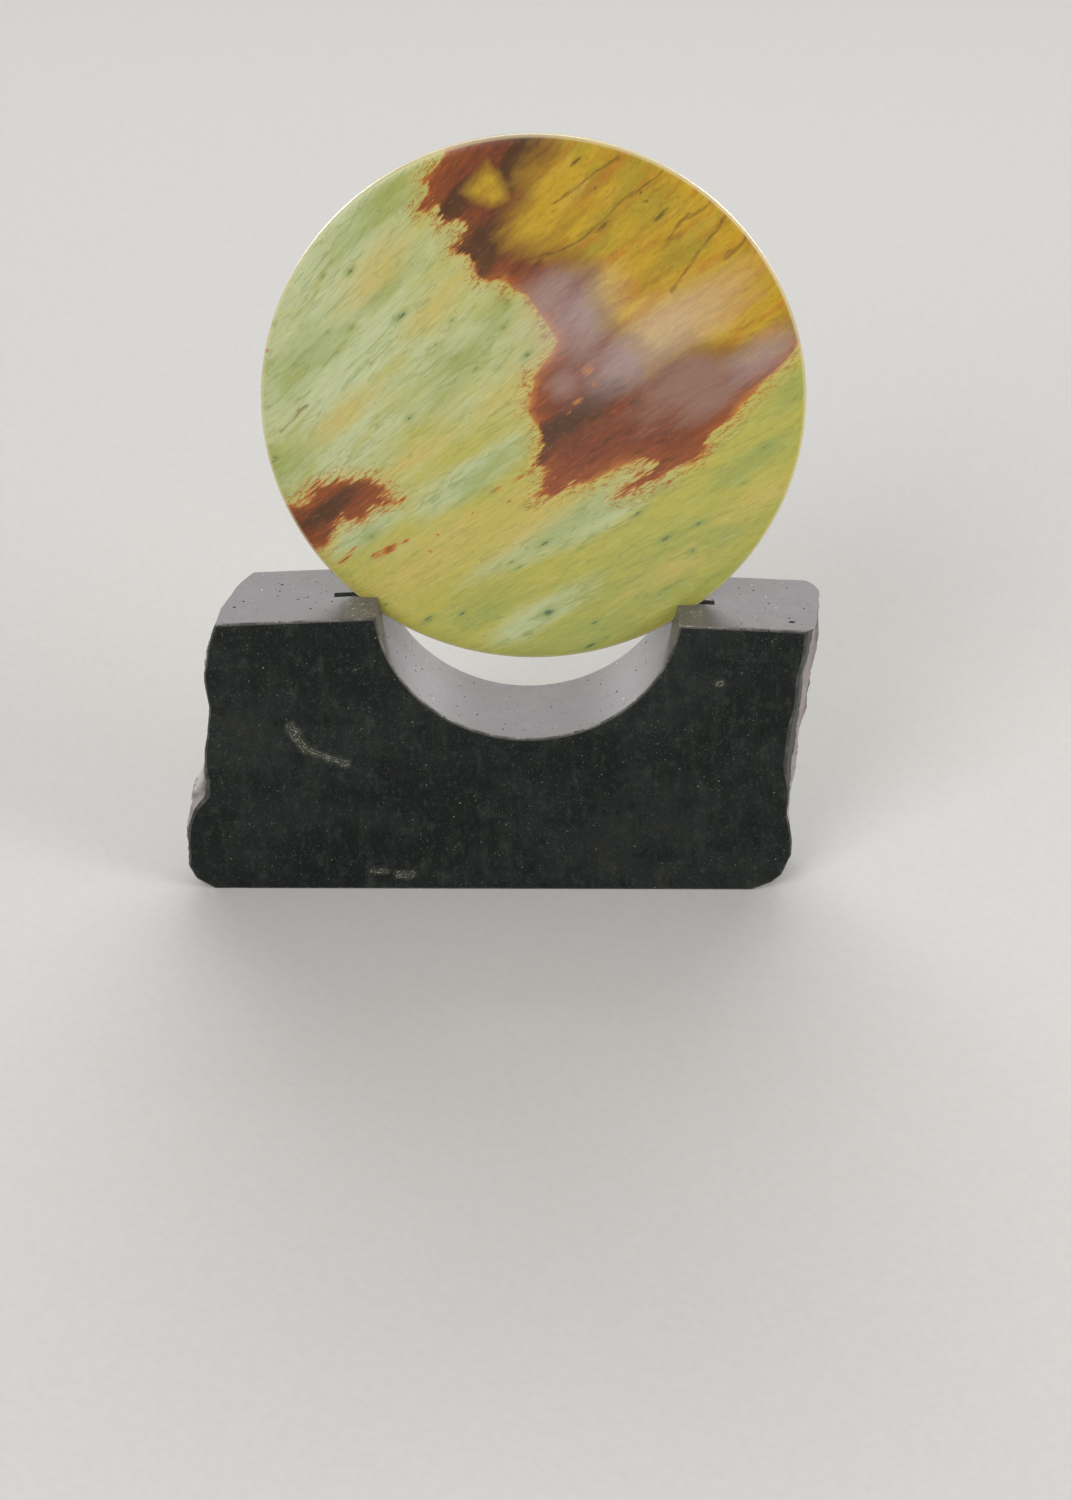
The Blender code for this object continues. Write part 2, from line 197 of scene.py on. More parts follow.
# Ellipses along the grain where a mark or a tone gathers: (across, up, length, width) in mm
PLACES = {
    # Dark green mineral flecks
    "fleck": (
        (-66, 50.3, 3.4, 2), (-75.8, 48.5, 2.6, 1.2), (-48.3, 33.7, 5.6, 1.9), (-65.9, 29.4, 2.8, 1.2),
        (-74.4, 27.7, 2.4, 1), (-93.8, 29.5, 2.2, 1.3), (-35.6, 23, 1.8, 1), (-10.9, 29.7, 2.6, 1),
        (-2.5, 19.5, 4.4, 1.6), (-29.6, 32.3, 2.4, 1), (-45.5, -4.5, 3.6, 1.5), (-94.5, -20.8, 2.4, 1.4),
        (-45.4, -19.3, 1.4, 1), (-5.2, -63.2, 4.6, 0.9), (-8.1, -61.1, 3, 0.8), (-26.4, -81.8, 3.2, 1.5),
        (-39.2, -84.3, 4.6, 1.8), (-60, -51, 3.4, 1.3), (-55.2, -78.5, 2.4, 1), (-2.3, -90.1, 2, 1.1),
        (5.9, -81.2, 5.2, 3), (85.4, -15.8, 5.4, 1.4), (39, -41.8, 5.6, 1.2), (61.7, -45.7, 5, 1.5),
        (49.8, -51.3, 6.4, 1.8), (59.8, -56.3, 2.4, 1.4), (50, -71.6, 3.4, 1.2), (23.6, -85.2, 3.6, 1.2),
        (22.7, -94.9, 5.6, 1.6), (28.1, -91.7, 2.6, 1.1), (4.5, -53.3, 4.2, 1.2), (14.9, 90.5, 7, 2.6),
        (21.9, 80.8, 2.8, 1.2), (26.4, 77.5, 2.4, 1.1), (40.3, 76.4, 2.8, 1.4), (6.6, 72.5, 2.2, 1.1),
        (38.5, 79.5, 2.4, 1), (25.2, 67.2, 8, 2.6), (45.6, 71, 8.5, 2.8), (-7.5, 80, 3.2, 2.2),
        (-21, 14, 2.2, 1), (-15, -33, 2.4, 0.9), (78, -30, 4, 1.2), (70, 58, 5, 1.4),
    ),
    # Rust that has crept into the green
    "streak": (
        (-53.5, -56, 9, 3), (-59, -58.5, 5, 1.6), (-47.5, -53, 4, 1.8), (-71, -61, 9, 1.8),
        (-66.5, -56, 5, 1.2), (-54, -41, 8, 1.4), (-48.5, -36.5, 6, 1.2), (-38.1, -56.7, 1.6, 1.2),
        (-35.4, -50.3, 1.6, 1.2), (-14, -32.5, 6, 1.1), (-5, -27.5, 7, 1.5), (-1, -25, 5, 1.6),
        (-9, -37, 3, 0.9), (-96.5, 19.3, 2.6, 1.8), (52, -22, 8, 1.2), (57.5, -17, 7, 1.3),
        (-22, -41.5, 3, 0.8), (50, -29, 4, 1),
    ),
    # Golden spots within the rust
    "ember": (
        (19.8, 13.5, 6, 4), (22, 8.5, 3.6, 2.4), (16.5, 2, 5, 2), (13, -2.5, 3.5, 1.3),
        (8, -27.5, 2.6, 1.4), (11.5, -29, 2, 1.2), (3.5, -15, 3, 1.2), (5, 17, 3, 1.6),
    ),
    # Broad tones of the stain, and painted sheen where the polish mirrors a light over it
    "dark": ((-14, 62, 30, 15), (-6, 91, 28, 13), (12, -7, 38, 9), (-27, 76, 16, 8), (-76, -42, 20, 8)),
    # Painted sheen over the stain: paler mauve patches where the polish mirrors a light
    "milky": ((62, 14, 60, 18), (66, 3, 36, 11), (10, 7.5, 12, 9), (24, 34, 34, 20), (36, 18, 32, 20),
              (3, 43, 32, 13)),
    # Painted sheen: where the polish mirrors a light as a pale grey-violet haze
    "hazy": ((44, 25, 76, 26), (84, 19, 36, 16), (13, 33, 50, 34)),
    # Where its border frays into threads; elsewhere it is soft
    "frayed": ((-33, 74, 44, 46), (5, -27, 38, 34), (54, -18, 56, 16), (40, -31, 32, 14), (-72, -44, 70, 50)),
    # Broad tones of the green, and painted shade along the disc's lower right edge
    "creamy": (
        (-35, -58, 92, 22), (-2, -45, 60, 16), (-45, -21, 40, 8), (-57, 49, 34, 14), (-35, 37, 36, 12),
        # The last of these lies in the ochre, where it is partly a painted highlight of a light that the
        # polish mirrors
        (-8, 5, 34, 12), (50, -65, 34, 9), (86, -36, 40, 12), (-68, -2, 46, 9), (62, 37, 72, 19),
    ),
    "green": (
        (2, -96, 60, 16), (18, -43, 60, 13), (-20, -27, 36, 9), (-62, -50, 22, 8), (-58, 73, 44, 16),
        (-54, 44, 30, 7), (-82, 18, 44, 16), (84, -20, 48, 10), (95, 5, 26, 12), (-22, -82, 50, 12),
        # (52, -68, 90, 40) and (20, -90, 80, 28), the broad ones at the lower right, are painted shade over
        # the disc's lower right towards its edge
        (-28, 15, 40, 14), (-90, -22, 30, 14), (60, -52, 44, 9), (-14, 31, 24, 12), (52, -68, 90, 40),
        (20, -90, 80, 28),
    ),
    "pale": ((-78, 20, 130, 110), (-62, -49, 30, 11), (18, -43, 70, 13), (-22, -26, 50, 12),
             (4, -82, 40, 10)),
}
FAR_OUTSIDE = -9.0
# Fine lines: dark seams in the ochre, and two rusty veins in the green. Each fades between two distances,
# in mm
SEAMS = (
    ((46.6, 86.5), (39, 81), (31.5, 76.3), (27.1, 71.7), (16.9, 61.9), (8, 58), (-0.4, 55.4)),
    ((68.6, 69.6), (62.3, 61.8), (56.7, 54), (50.4, 44)),
    ((77, 62.4), (73, 58.5), (70.1, 55.9)),
    ((63.2, 74.9), (53.3, 68.7), (49.4, 63.2)),
    ((30, 91), (22, 87), (14, 80), (8, 76)),
    ((-91.8, -9.8), (-88.5, -6.5), (-86, -2.5), (-83.7, -0.9)),
    ((-97, -25), (-94.5, -22)),
)
SEAM_FADE = (1.2, 3.2)

# Threads of lime on the block's front face, in mm across from its middle and up from the floor
LIME_THREADS = (
    ((-79.1, 73.0), (-75.9, 65.5)), ((-75.9, 65.5), (-69.3, 60.2)), ((-69.3, 60.2), (-59.1, 57.1)),
    ((-48.6, 8.5), (-44.8, 8.5)), ((-39.5, 6.5), (-34.5, 6.8)), ((83.0, 92.4), (83.0, 92.8)),
)
# Gas holes of the basalt that are large enough to notice: (across, back from the front, size) in mm
LARGE_HOLES = (
    (-83.0, 30.4, 1.0), (-96.6, 17.9, 0.9), (-99.7, 13.5, 1.1), (-70.9, 9.9, 1.0), (-72.5, 19.2, 0.8),
    (-83.8, 21.3, 0.8), (109.0, 7.2, 1.9), (108.2, 10.2, 0.9), (96.0, 31.0, 0.8),
)

# Camera, as it was fitted to the photograph
LENS, SENSOR_WIDTH = 79.25, 36.0
EYE = (0.01335, -1.1010, 0.7003)
PITCH, ROLL = math.radians(30.561), math.radians(-0.152)
# Softboxes: (name, place, target, size, spread in degrees, the setting that gives its power)
SOFTBOXES = (
    ("back_softbox", (0.0, 2.4, 1.55), (0.0, 0.0, 0.1), (2.3, 1.2), 80.0, "back"),
    ("key_softbox", (-0.75, -1.35, 1.25), (0.0, 0.0, 0.17), (0.9, 0.9), 180.0, "key"),
    ("side_softbox", (1.3, -0.7, 0.8), (0.0, 0.0, 0.15), (0.7, 0.9), 180.0, "side"),
    ("left_wing", (-1.65, 2.7, 0.5), (0.0, 0.0, 0.1), (1.35, 0.9), 60.0, "wing"),
    ("right_wing", (1.65, 2.7, 0.5), (0.0, 0.0, 0.1), (1.35, 0.9), 60.0, "wing"),
    ("low_softbox", (0.045, -0.66, 0.03), (0.04, 0.0, 0.21), (0.16, 0.09), 180.0, "low"),
)
FLOOR_RADIUS = 5.0
FLOOR_STEPS = 96


# Settings
def linear(hex_code):
    """Linear red, green, blue and alpha of an sRGB hex colour."""
    channels = [int(hex_code[i:i + 2], 16) / 255 for i in (0, 2, 4)]
    return (*[c / 12.92 if c <= 0.04045 else ((c + 0.055) / 1.055) ** 2.4 for c in channels], 1.0)


def tone(name, description, hex_code):
    """A colour that a user can change."""
    return FloatVectorProperty(name=name, description=description, subtype="COLOR", size=4, min=0.0, max=1.0,
                               default=linear(hex_code))


def length(name, description, default, low, high):
    """A length that a user can change, given here in millimetres."""
    return FloatProperty(name=name, description=description, default=default * MM, min=low * MM,
                         max=high * MM, precision=5, subtype="DISTANCE", unit="LENGTH")


def power(name, description, default):
    """A light's power in watts that a user can change."""
    return FloatProperty(name=name, description=description, default=default, min=0.0, max=500.0,
                         subtype="POWER", unit="POWER")


class JadeSettings(PropertyGroup):
    """Sizes and colours of the jade slice."""
    polish_relief: length("Polish Relief", "Height of the slight waves that polishing leaves", 0.03, 0.0, 0.2)
    polish_grain: length("Polish Grain", "Distance between those waves", 5.0, 1.0, 20.0)
    fringe: length("Fringe", "How far the rust reaches out along the grain", 8.0, 0.0, 20.0)
    celadon: tone("Celadon", "Palest green of the jade", "B5BC90")
    moss: tone("Moss", "Yellow green of its clouds", "AEA64B")
    sage: tone("Sage", "Deeper green of its streaks", "86954F")
    cream: tone("Cream", "Warm yellow where iron has just reached the green", "BEA95B")
    ochre: tone("Ochre", "Golden ochre inside the stain", "B8941C")
    orange: tone("Orange", "Thin bright border of the stain", "B5661A")
    rust: tone("Rust", "Red brown of the stain", "80411A")
    brown: tone("Brown", "Darkest brown of the stain", "4A2D12")
    fleck: tone("Fleck", "Dark green mineral flecks", "35503F")


class BasaltSettings(PropertyGroup):
    """Sizes and colours of the basalt block."""
    break_relief: length("Break Relief", "Depth of the shallow scallops on the broken ends", 0.9, 0.0, 3.0)
    lump_relief: length("Lump Relief", "Height of the lumps on the broken ends", 0.45, 0.0, 2.0)
    hole_size: length("Gas Hole Size", "Width of the largest common gas holes", 1.1, 0.2, 3.0)
    hole_spacing: length("Gas Hole Spacing", "Least distance between two gas holes", 1.6, 0.5, 20.0)
    honed: tone("Honed Face", "Near-black of the honed front and back", "151917")
    sawn: tone("Sawn Face", "Grey of the sawn tops and the cut-out", "5A5757")
    broken: tone("Broken End", "Pinkish grey of the weathered ends", "5E5857")
    lime: tone("Lime", "Cream of bruised edges, grains and lime threads", "B9AC98")
    # The gas holes' near-black is painted shade
    hollow: tone("Gas Hole Lining", "Almost black of the gas holes", "151515")


class StudioSettings(PropertyGroup):
    """Floor and lights of the studio."""
    floor: tone("Floor", "Colour of the pale board the object stands on", "C9C7C3")
    key: power("Key Softbox", "Power of the softbox in front of the disc", 18.0)
    back: power("Back Softbox", "Power of the softbox whose sheen lies on the sawn tops", 10.8)
    side: power("Side Softbox", "Power of the softbox on the right", 10.0)
    wing: power("Wing Softboxes", "Power of each softbox whose sheen lies on a side of the cut-out", 5.2)
    low: power("Low Softbox", "Power of the small low light that the disc mirrors", 0.15)
    fill: FloatProperty(
        name="Fill", description="Strength of the even light from all sides", default=0.42, min=0.0, max=2.0)


# Materials
def add(tree, kind, inputs=None, **settings):
    """Adds a node with its settings, fills its inputs with values or links, and gives its outputs."""
    node = tree.nodes.new(kind)
    for name, value in settings.items():
        setattr(node, name, value)
    for name, value in (inputs or {}).items():
        if isinstance(value, bpy.types.NodeSocket):
            tree.links.new(value, node.inputs[name])
        else:
            node.inputs[name].default_value = value
    return node.outputs


def new_material(name):
    """An empty node material, its tree and a point's object coordinates in mm."""
    mat = bpy.data.materials.new(name)
    mat.use_nodes = True
    tree = mat.node_tree
    tree.nodes.clear()
    place = add(tree, "ShaderNodeTexCoord")["Object"]
    return mat, tree, add(tree, "ShaderNodeVectorMath", {0: place, 3: 1 / MM}, operation="SCALE")[0]


def surfaced(mat, shading, height=None, depth=0.0, strength=1.0):
    """Completes a material from its shader's inputs, with a relief of a height times a depth in mm."""
    tree = mat.node_tree
    if height is not None:
        bump = add(tree, "ShaderNodeBump", {"Height": height, "Strength": strength, "Distance": depth * MM})
        shading = {**shading, "Normal": bump[0]}
    shader = add(tree, "ShaderNodeBsdfPrincipled", shading)
    add(tree, "ShaderNodeOutputMaterial", {"Surface": shader[0]})
    return mat


def mottle(tree, place, sizes, seed, detail=3.0, roughness=0.5):
    """Noise from 0 to 1 with patches of one size, or of three sizes along the directions of a place."""
    sizes = sizes if isinstance(sizes, tuple) else (sizes,) * 3
    scaled = add(tree, "ShaderNodeVectorMath",
                 {0: place, 1: [1 / size for size in sizes], 2: (seed * 7.3, seed * 3.1, seed * 5.7)},
                 operation="MULTIPLY_ADD")
    return add(tree, "ShaderNodeTexNoise", {"Vector": scaled[0], "Scale": 1.0, "Detail": detail,
                                            "Roughness": roughness})["Fac"]


def layered(tree, colour, *layers):
    """Lays colours over a first one. Each layer is (colour, mask, low, high, amount): the colour comes in
    where the mask passes from low to high, up to the amount."""
    colour = linear(colour) if isinstance(colour, str) else colour
    for over, mask, low, high, amount in layers:
        over = linear(over) if isinstance(over, str) else over
        share = add(tree, "ShaderNodeMapRange", {"Value": mask, "From Min": low, "From Max": high,
                                                 "To Max": amount}, interpolation_type="SMOOTHSTEP")
        mix = add(tree, "ShaderNodeMix", {0: share[0], 6: colour, 7: over}, data_type="RGBA")
        colour = mix[2]
    return colour


def shifted(tree, value, *moves):
    """A value moved up or down by noises, each given as (noise, reach), by half its reach each way."""
    for wobble, reach in moves:
        centred = add(tree, "ShaderNodeMath", {0: wobble, 1: reach, 2: -reach / 2}, operation="MULTIPLY_ADD")
        value = add(tree, "ShaderNodeMath", {0: value, 1: centred[0]}, operation="ADD")[0]
    return value


def thin_line(tree, value, centre, width):
    """1 where a value is at a centre, and 0 from a width away."""
    away = add(tree, "ShaderNodeMath", {0: value, 1: centre}, operation="SUBTRACT")
    size = add(tree, "ShaderNodeMath", {0: away[0]}, operation="ABSOLUTE")
    return add(tree, "ShaderNodeMapRange", {"Value": size[0], "From Max": width, "To Min": 1.0,
                                            "To Max": 0.0}, interpolation_type="SMOOTHSTEP")[0]


def product(tree, first, *others):
    """Masks multiplied."""
    for other in others:
        first = add(tree, "ShaderNodeMath", {0: first, 1: other}, operation="MULTIPLY")[0]
    return first


# Meshes
def new_object(name, data):
    """An object in the scene, at the origin."""
    obj = bpy.data.objects.new(name, data)
    bpy.context.scene.collection.objects.link(obj)
    return obj


def shade(mesh):
    """Shades a mesh smooth, with its edges sharp."""
    mesh.shade_smooth()
    mesh.set_sharp_from_angle(angle=SMOOTH_ANGLE)


def finish_object(name, bm):
    """A shaded object at the origin that holds a bmesh."""
    mesh = bpy.data.meshes.new(name)
    bm.to_mesh(mesh)
    bm.free()
    shade(mesh)
    return new_object(name, mesh)


def to_segment(points, start, run):
    """Distance of each point to the straight run from a start."""
    share = np.clip((points - start) @ run / (run @ run), 0.0, 1.0)
    return np.hypot(*(points - start - share[:, None] * run).T)


def signed_distance(points, outline):
    """Distance of each point to a closed outline, positive inside, in the outline's unit."""
    corners = np.array(outline, float)
    nearest = np.full(len(points), np.inf)
    inside = np.zeros(len(points), bool)
    for start, end in zip(corners, np.roll(corners, -1, axis=0)):
        run = end - start
        nearest = np.minimum(nearest, to_segment(points, start, run))
        crosses = (start[1] > points[:, 1]) != (end[1] > points[:, 1])
        with np.errstate(divide="ignore", invalid="ignore"):
            meets = start[0] + run[0] * (points[:, 1] - start[1]) / run[1]
        inside ^= crosses & (points[:, 0] < meets)
    return np.where(inside, nearest, -nearest)


# Disc
def disc_axes():
    """Unit vectors of the leaning disc: across, up its face and out of its front."""
    up = Vector((0.0, math.sin(LEAN), math.cos(LEAN)))
    return Vector((1.0, 0.0, 0.0)), up, Vector((0.0, -math.cos(LEAN), math.sin(LEAN)))


def half_thickness(radius, reach):
    """Half the thickness of a disc at one radius: domed faces, then an elliptic round-over to its reach."""
    flat = reach - EDGE_EASING
    edge, rim = FACE_EDGE_THICKNESS / 2, RIM_THICKNESS / 2
    if radius <= flat:
        return edge + (DISC_THICKNESS / 2 - edge) * (1 - (radius / flat) ** 2)
    share = min(1.0, (radius - flat) / EDGE_EASING)
    return rim + (edge - rim) * math.sqrt(1 - share ** 2)


def ring_plan(reach):
    """Radii of a disc's rings from the rim inwards, each with its number of steps round."""
    rings = []
    radius, steps = reach, DISC_STEPS
    while radius > 2 * DISC_RING:
        rings.append((radius, steps))
        radius -= DISC_RING if radius < reach - EDGE_EASING else RIM_RING
        if steps > FEWEST_STEPS and radius < reach * steps / DISC_STEPS / 2:
            steps //= 2
    return rings


def strip(bm, outer, inner):
    """Faces between two rings, the inner one with as many steps or half as many."""
    ratio = len(outer) // len(inner)
    for i, vert in enumerate(inner):
        after = inner[(i + 1) % len(inner)]
        if ratio == 1:
            bm.faces.new((outer[i], outer[(i + 1) % len(outer)], after, vert))
        else:
            first, middle, last = (outer[(2 * i + k) % len(outer)] for k in range(3))
            bm.faces.new((first, middle, vert))
            bm.faces.new((middle, after, vert))
            bm.faces.new((middle, last, after))


def turned_disc(name, reach, side_gap, relief=0.0, grain=1.0):
    """A leaning disc grown by a side gap, with slight waves on both faces that die out at the rim."""
    across, up, out = disc_axes()
    bm = bmesh.new()
    rims = []
    for side in (1, -1):
        loops = []
        for radius, steps in ring_plan(reach):
            half = half_thickness(radius, reach) + side_gap
            fade = relief * min(1.0, (reach - radius) / EDGE_EASING)
            loop = []
            for step in range(steps):
                angle = 2 * math.pi * step / steps
                x, y = radius * math.cos(angle), radius * math.sin(angle)
                wave = fade * noise.noise(Vector((x / grain, y / grain, side)))
                loop.append(bm.verts.new(DISC_CENTRE + across * x + up * y + out * side * (half + wave)))
            loops.append(loop)
        for outer, inner in zip(loops, loops[1:]):
            strip(bm, outer, inner)
        bm.faces.new(loops[-1])
        rims.append(loops[0])
    strip(bm, *rims)
    bmesh.ops.recalc_face_normals(bm, faces=bm.faces)
    return finish_object(name, bm)


def nearness(flat, places):
    """How far inside the nearest of some ellipses each point lies: 1 at a centre, 0 on an outline."""
    best = np.full(len(flat), FAR_OUTSIDE)
    for across, up, long, wide in places:
        turn = math.atan2(up - GRAIN_POLE[1], across - GRAIN_POLE[0])
        x, y = flat[:, 0] - across, flat[:, 1] - up
        along = (x * math.cos(turn) + y * math.sin(turn)) / (long / 2)
        off = (y * math.cos(turn) - x * math.sin(turn)) / (wide / 2)
        best = np.maximum(best, 1 - np.hypot(along, off))
    return best


def seam_sides(flat):
    """Offset of each point from its nearest seam, positive on one side, and how near the seam is."""
    nearest = np.full(len(flat), np.inf)
    offset = np.zeros(len(flat))
    for seam in SEAMS:
        for start, end in zip(np.array(seam), np.array(seam)[1:]):
            run = end - start
            away = to_segment(flat, start, run)
            side = run[0] * (flat[:, 1] - start[1]) - run[1] * (flat[:, 0] - start[0])
            closer = away < nearest
            nearest = np.where(closer, away, nearest)
            offset = np.where(closer, side / np.hypot(*run), offset)
    return offset, np.interp(nearest, SEAM_FADE, (1.0, 0.0))


def mark_jade(disc):
    """Stores on the disc's vertices where its stains, flecks, seams and tones lie, in mm."""
    mesh = disc.data
    co = np.empty(len(mesh.vertices) * 3)
    mesh.vertices.foreach_get("co", co)
    place = (co.reshape(-1, 3) - np.array(DISC_CENTRE)) / MM
    across, up, out = (place @ np.array(axis) for axis in disc_axes())
    behind = 0.5 - out / (DISC_THICKNESS / MM)
    flat = np.column_stack((across, up)) + behind[:, None] * np.array(SLANT)
    from_pole = flat - np.array(GRAIN_POLE)
    turn = np.arctan2(from_pole[:, 1], from_pole[:, 0])
    grain = np.column_stack((np.hypot(*from_pole.T), turn * GRAIN_REACH, out * THROUGH_FINENESS))
    window = WINDOW_SHARPNESS * signed_distance(flat, WINDOW_OUTLINE)
    marks = {name: nearness(flat, places) for name, places in PLACES.items()}
    marks["stain"] = np.maximum(signed_distance(flat, STAIN_OUTLINE), signed_distance(flat, PATCH_OUTLINE))
    marks["ochre"] = np.maximum(signed_distance(flat, OCHRE_OUTLINE), window)
    marks["rim"] = DISC_RADIUS / MM - np.hypot(across, up)
    marks["seam"], marks["seam_near"] = seam_sides(flat)
    for name, values in marks.items():
        layer = mesh.attributes.new(name, "FLOAT", "POINT")
        layer.data.foreach_set("value", values.astype(np.float32))
    layer = mesh.attributes.new("grain", "FLOAT_VECTOR", "POINT")
    layer.data.foreach_set("vector", grain.astype(np.float32).ravel())


def jade_material(settings):
    """Nephrite of the flower-jade kind, ground flat, sanded and polished by hand.

    A waxy and slightly cloudy green that light sinks into, with stretched clouds and hairlines along one
    grain, iron stain that frays out along it, and a soft satin gloss over a faint orange-peel surface."""
    mat, tree, place = new_material("hand_polished_flower_jade")
    marks = {name: add(tree, "ShaderNodeAttribute", attribute_name=name)["Fac"]
             for name in ("stain", "ochre", "rim", "seam", "seam_near", *PLACES)}
    grain = add(tree, "ShaderNodeAttribute", attribute_name="grain")["Vector"]

    # Patches of every size along the grain, from clouds to grit, as (along, across, through) in mm
    clouds = mottle(tree, grain, (42, 16, 16), 1, 5.0, 0.6)
    drifts = mottle(tree, grain, (26, 7, 9), 2, 4.0, 0.6)
    streaks = mottle(tree, grain, (17, 2.6, 5), 3, 4.0, 0.6)
    spikes = mottle(tree, grain, (9, 1.8, 3), 7, 4.0, 0.6)
    fibres = mottle(tree, grain, (6, 0.9, 2), 4, 4.0, 0.65)
    veins = mottle(tree, grain, (48, 7, 8), 5, 3.0, 0.6)
    threads = mottle(tree, grain, (22, 3.6, 6), 8, 2.0, 0.5)
    grit = mottle(tree, grain, (2.4, 1.2, 1.5), 9, 3.0, 0.7)

    # Green ground of moss and celadon
    colour = layered(
        tree, settings.moss,
        (settings.celadon, shifted(tree, marks["pale"], (clouds, 2.4)), -0.7, 0.7, 0.95),
        (settings.moss, drifts, 0.50, 0.72, 0.6),
        # Sage also lays painted shade over the disc's lower right, towards its edge
        (settings.sage, shifted(tree, marks["green"], (drifts, 3.2)), -0.8, 1.2, 0.62),
        (settings.cream, shifted(tree, marks["creamy"], (drifts, -2.6)), -0.6, 1.2, 0.8),
        (settings.sage, streaks, 0.54, 0.80, 0.34),
        ("C0C695", streaks, 0.45, 0.24, 0.3),
        # Hairlines 10 to 25 mm long, drawn 0.4 to 0.8 mm wide, that come and go
        ("7C8849", product(tree, thin_line(tree, veins, 0.5, 0.030), clouds), 0.12, 0.64, 0.45),
        ("8C8A50", product(tree, thin_line(tree, threads, 0.56, 0.022), drifts), 0.12, 0.62, 0.35),
        ("C2C48C", product(tree, thin_line(tree, threads, 0.40, 0.022), veins), 0.16, 0.66, 0.2))

    # Border of the iron stain, ragged along the grain in places and smooth elsewhere
    fringe = settings.fringe / MM
    ragged = shifted(tree, marks["stain"], (fibres, fringe), (spikes, fringe * 1.3))
    smooth = shifted(tree, marks["stain"], (fibres, 1.8), (drifts, 5.0))
    fray = add(tree, "ShaderNodeMapRange",
               {"Value": marks["frayed"], "From Min": -0.15, "From Max": 0.3})[0]
    border = add(tree, "ShaderNodeMix", {0: fray, 2: smooth, 3: ragged})[0]
    widened = add(tree, "ShaderNodeMix", {0: fray, 2: product(tree, border, 0.45), 3: border})[0]
    near = add(tree, "ShaderNodeMapRange", {"Value": border, "From Min": -9.0, "From Max": -0.8})[0]
    small = shifted(tree, marks["streak"], (fibres, 3.4))
    colour = layered(
        tree, colour,
        (settings.cream, border, -5.5, -0.5, 0.5),
        (settings.orange, border, -0.9, 0.2, 0.8),
        (settings.orange, small, -0.1, 0.35, 0.9),
        # Sprays of brown threads outside it
        ("9A5A1E", product(tree, near, thin_line(tree, spikes, 0.5, 0.05), drifts), 0.10, 0.38, 0.85))

    # Golden ochre inside the stain, with olive and orange drifts and brown fibres
    inner = shifted(tree, marks["ochre"], (drifts, 12.0), (spikes, 9.0))
    golden = layered(
        tree, settings.ochre,
        ("BFA04A", drifts, 0.50, 0.74, 0.5),
        ("86610F", veins, 0.46, 0.70, 0.6),
        ("9C8A24", clouds, 0.52, 0.36, 0.75),
        ("B0701A", threads, 0.48, 0.70, 0.6),
        ("7F6016", streaks, 0.54, 0.78, 0.5),
        ("6F4E12", spikes, 0.56, 0.78, 0.5),
        ("8C6418", grit, 0.52, 0.74, 0.5),
        ("C09F45", grit, 0.46, 0.28, 0.35),
        # In the ochre's right middle these creamy places are partly a painted highlight
        ("C0994C", shifted(tree, marks["creamy"], (drifts, 3.0)), -0.5, 0.9, 0.65),
        ("7C5318", inner, 9.0, 0.5, 0.7))
    stained = layered(
        tree, "A9662E",
        (settings.rust, shifted(tree, widened, (streaks, 2.4)), -0.1, 1.5, 1.0),
        ("A2521F", streaks, 0.46, 0.68, 0.65),
        ("70351A", border, 2.5, 8.5, 0.8),
        ("A85F24", fibres, 0.53, 0.74, 0.5),
        ("5A3416", grit, 0.54, 0.74, 0.4),
        (settings.brown, spikes, 0.49, 0.29, 0.65),
        # Painted sheen: paler mauve patches over the stain, where the polish mirrors a light
        ("8E6D5E", shifted(tree, marks["milky"], (drifts, 1.8)), -0.5, 0.7, 0.85),
        (settings.brown, shifted(tree, marks["dark"], (drifts, 3.0), (spikes, 2.2)), -0.9, 0.5, 0.94),
        # Pale grains over the stain: partly its sugary grain, partly painted glints where the grains catch
        # the light
        ("936C50", grit, 0.55, 0.76, 0.4),
        ("B0671C", shifted(tree, marks["ember"], (fibres, 2.2)), -0.1, 0.8, 0.9),
        (golden, inner, -6.0, 2.5, 1.0))

    # The stain comes in across this edge, in mm. Dark seams, and flecks with a greener halo outside it
    stain_edge = (-0.1, 0.7)
    outside = add(tree, "ShaderNodeMapRange", {"Value": border, "From Min": stain_edge[1],
                                               "From Max": stain_edge[0]}, interpolation_type="SMOOTHSTEP")
    seams = thin_line(tree, shifted(tree, marks["seam"], (streaks, 4.0), (fibres, 1.6)), 0.0, 1.5)
    specks = shifted(tree, marks["fleck"], (fibres, 3.2))
    halo = add(tree, "ShaderNodeMapRange", {"Value": specks, "From Min": -1.6, "From Max": 0.2})
    colour = layered(
        tree, colour,
        (stained, border, *stain_edge, 1.0),
        (settings.rust, small, 0.40, 0.95, 0.9),
        # Painted sheen: a pale grey-violet haze where the polish mirrors a light
        ("C2B7B8", shifted(tree, marks["hazy"], (clouds, 0.8)), -0.3, 0.8, 0.30),
        ("5F4014", product(tree, seams, marks["seam_near"], fibres), 0.15, 0.70, 0.8),
        (settings.sage, product(tree, halo[0], outside[0]), 0.0, 1.0, 0.55),
        (layered(tree, settings.fleck, ("4C4018", border, *stain_edge, 1.0)), specks, -0.05, 0.80, 0.8))
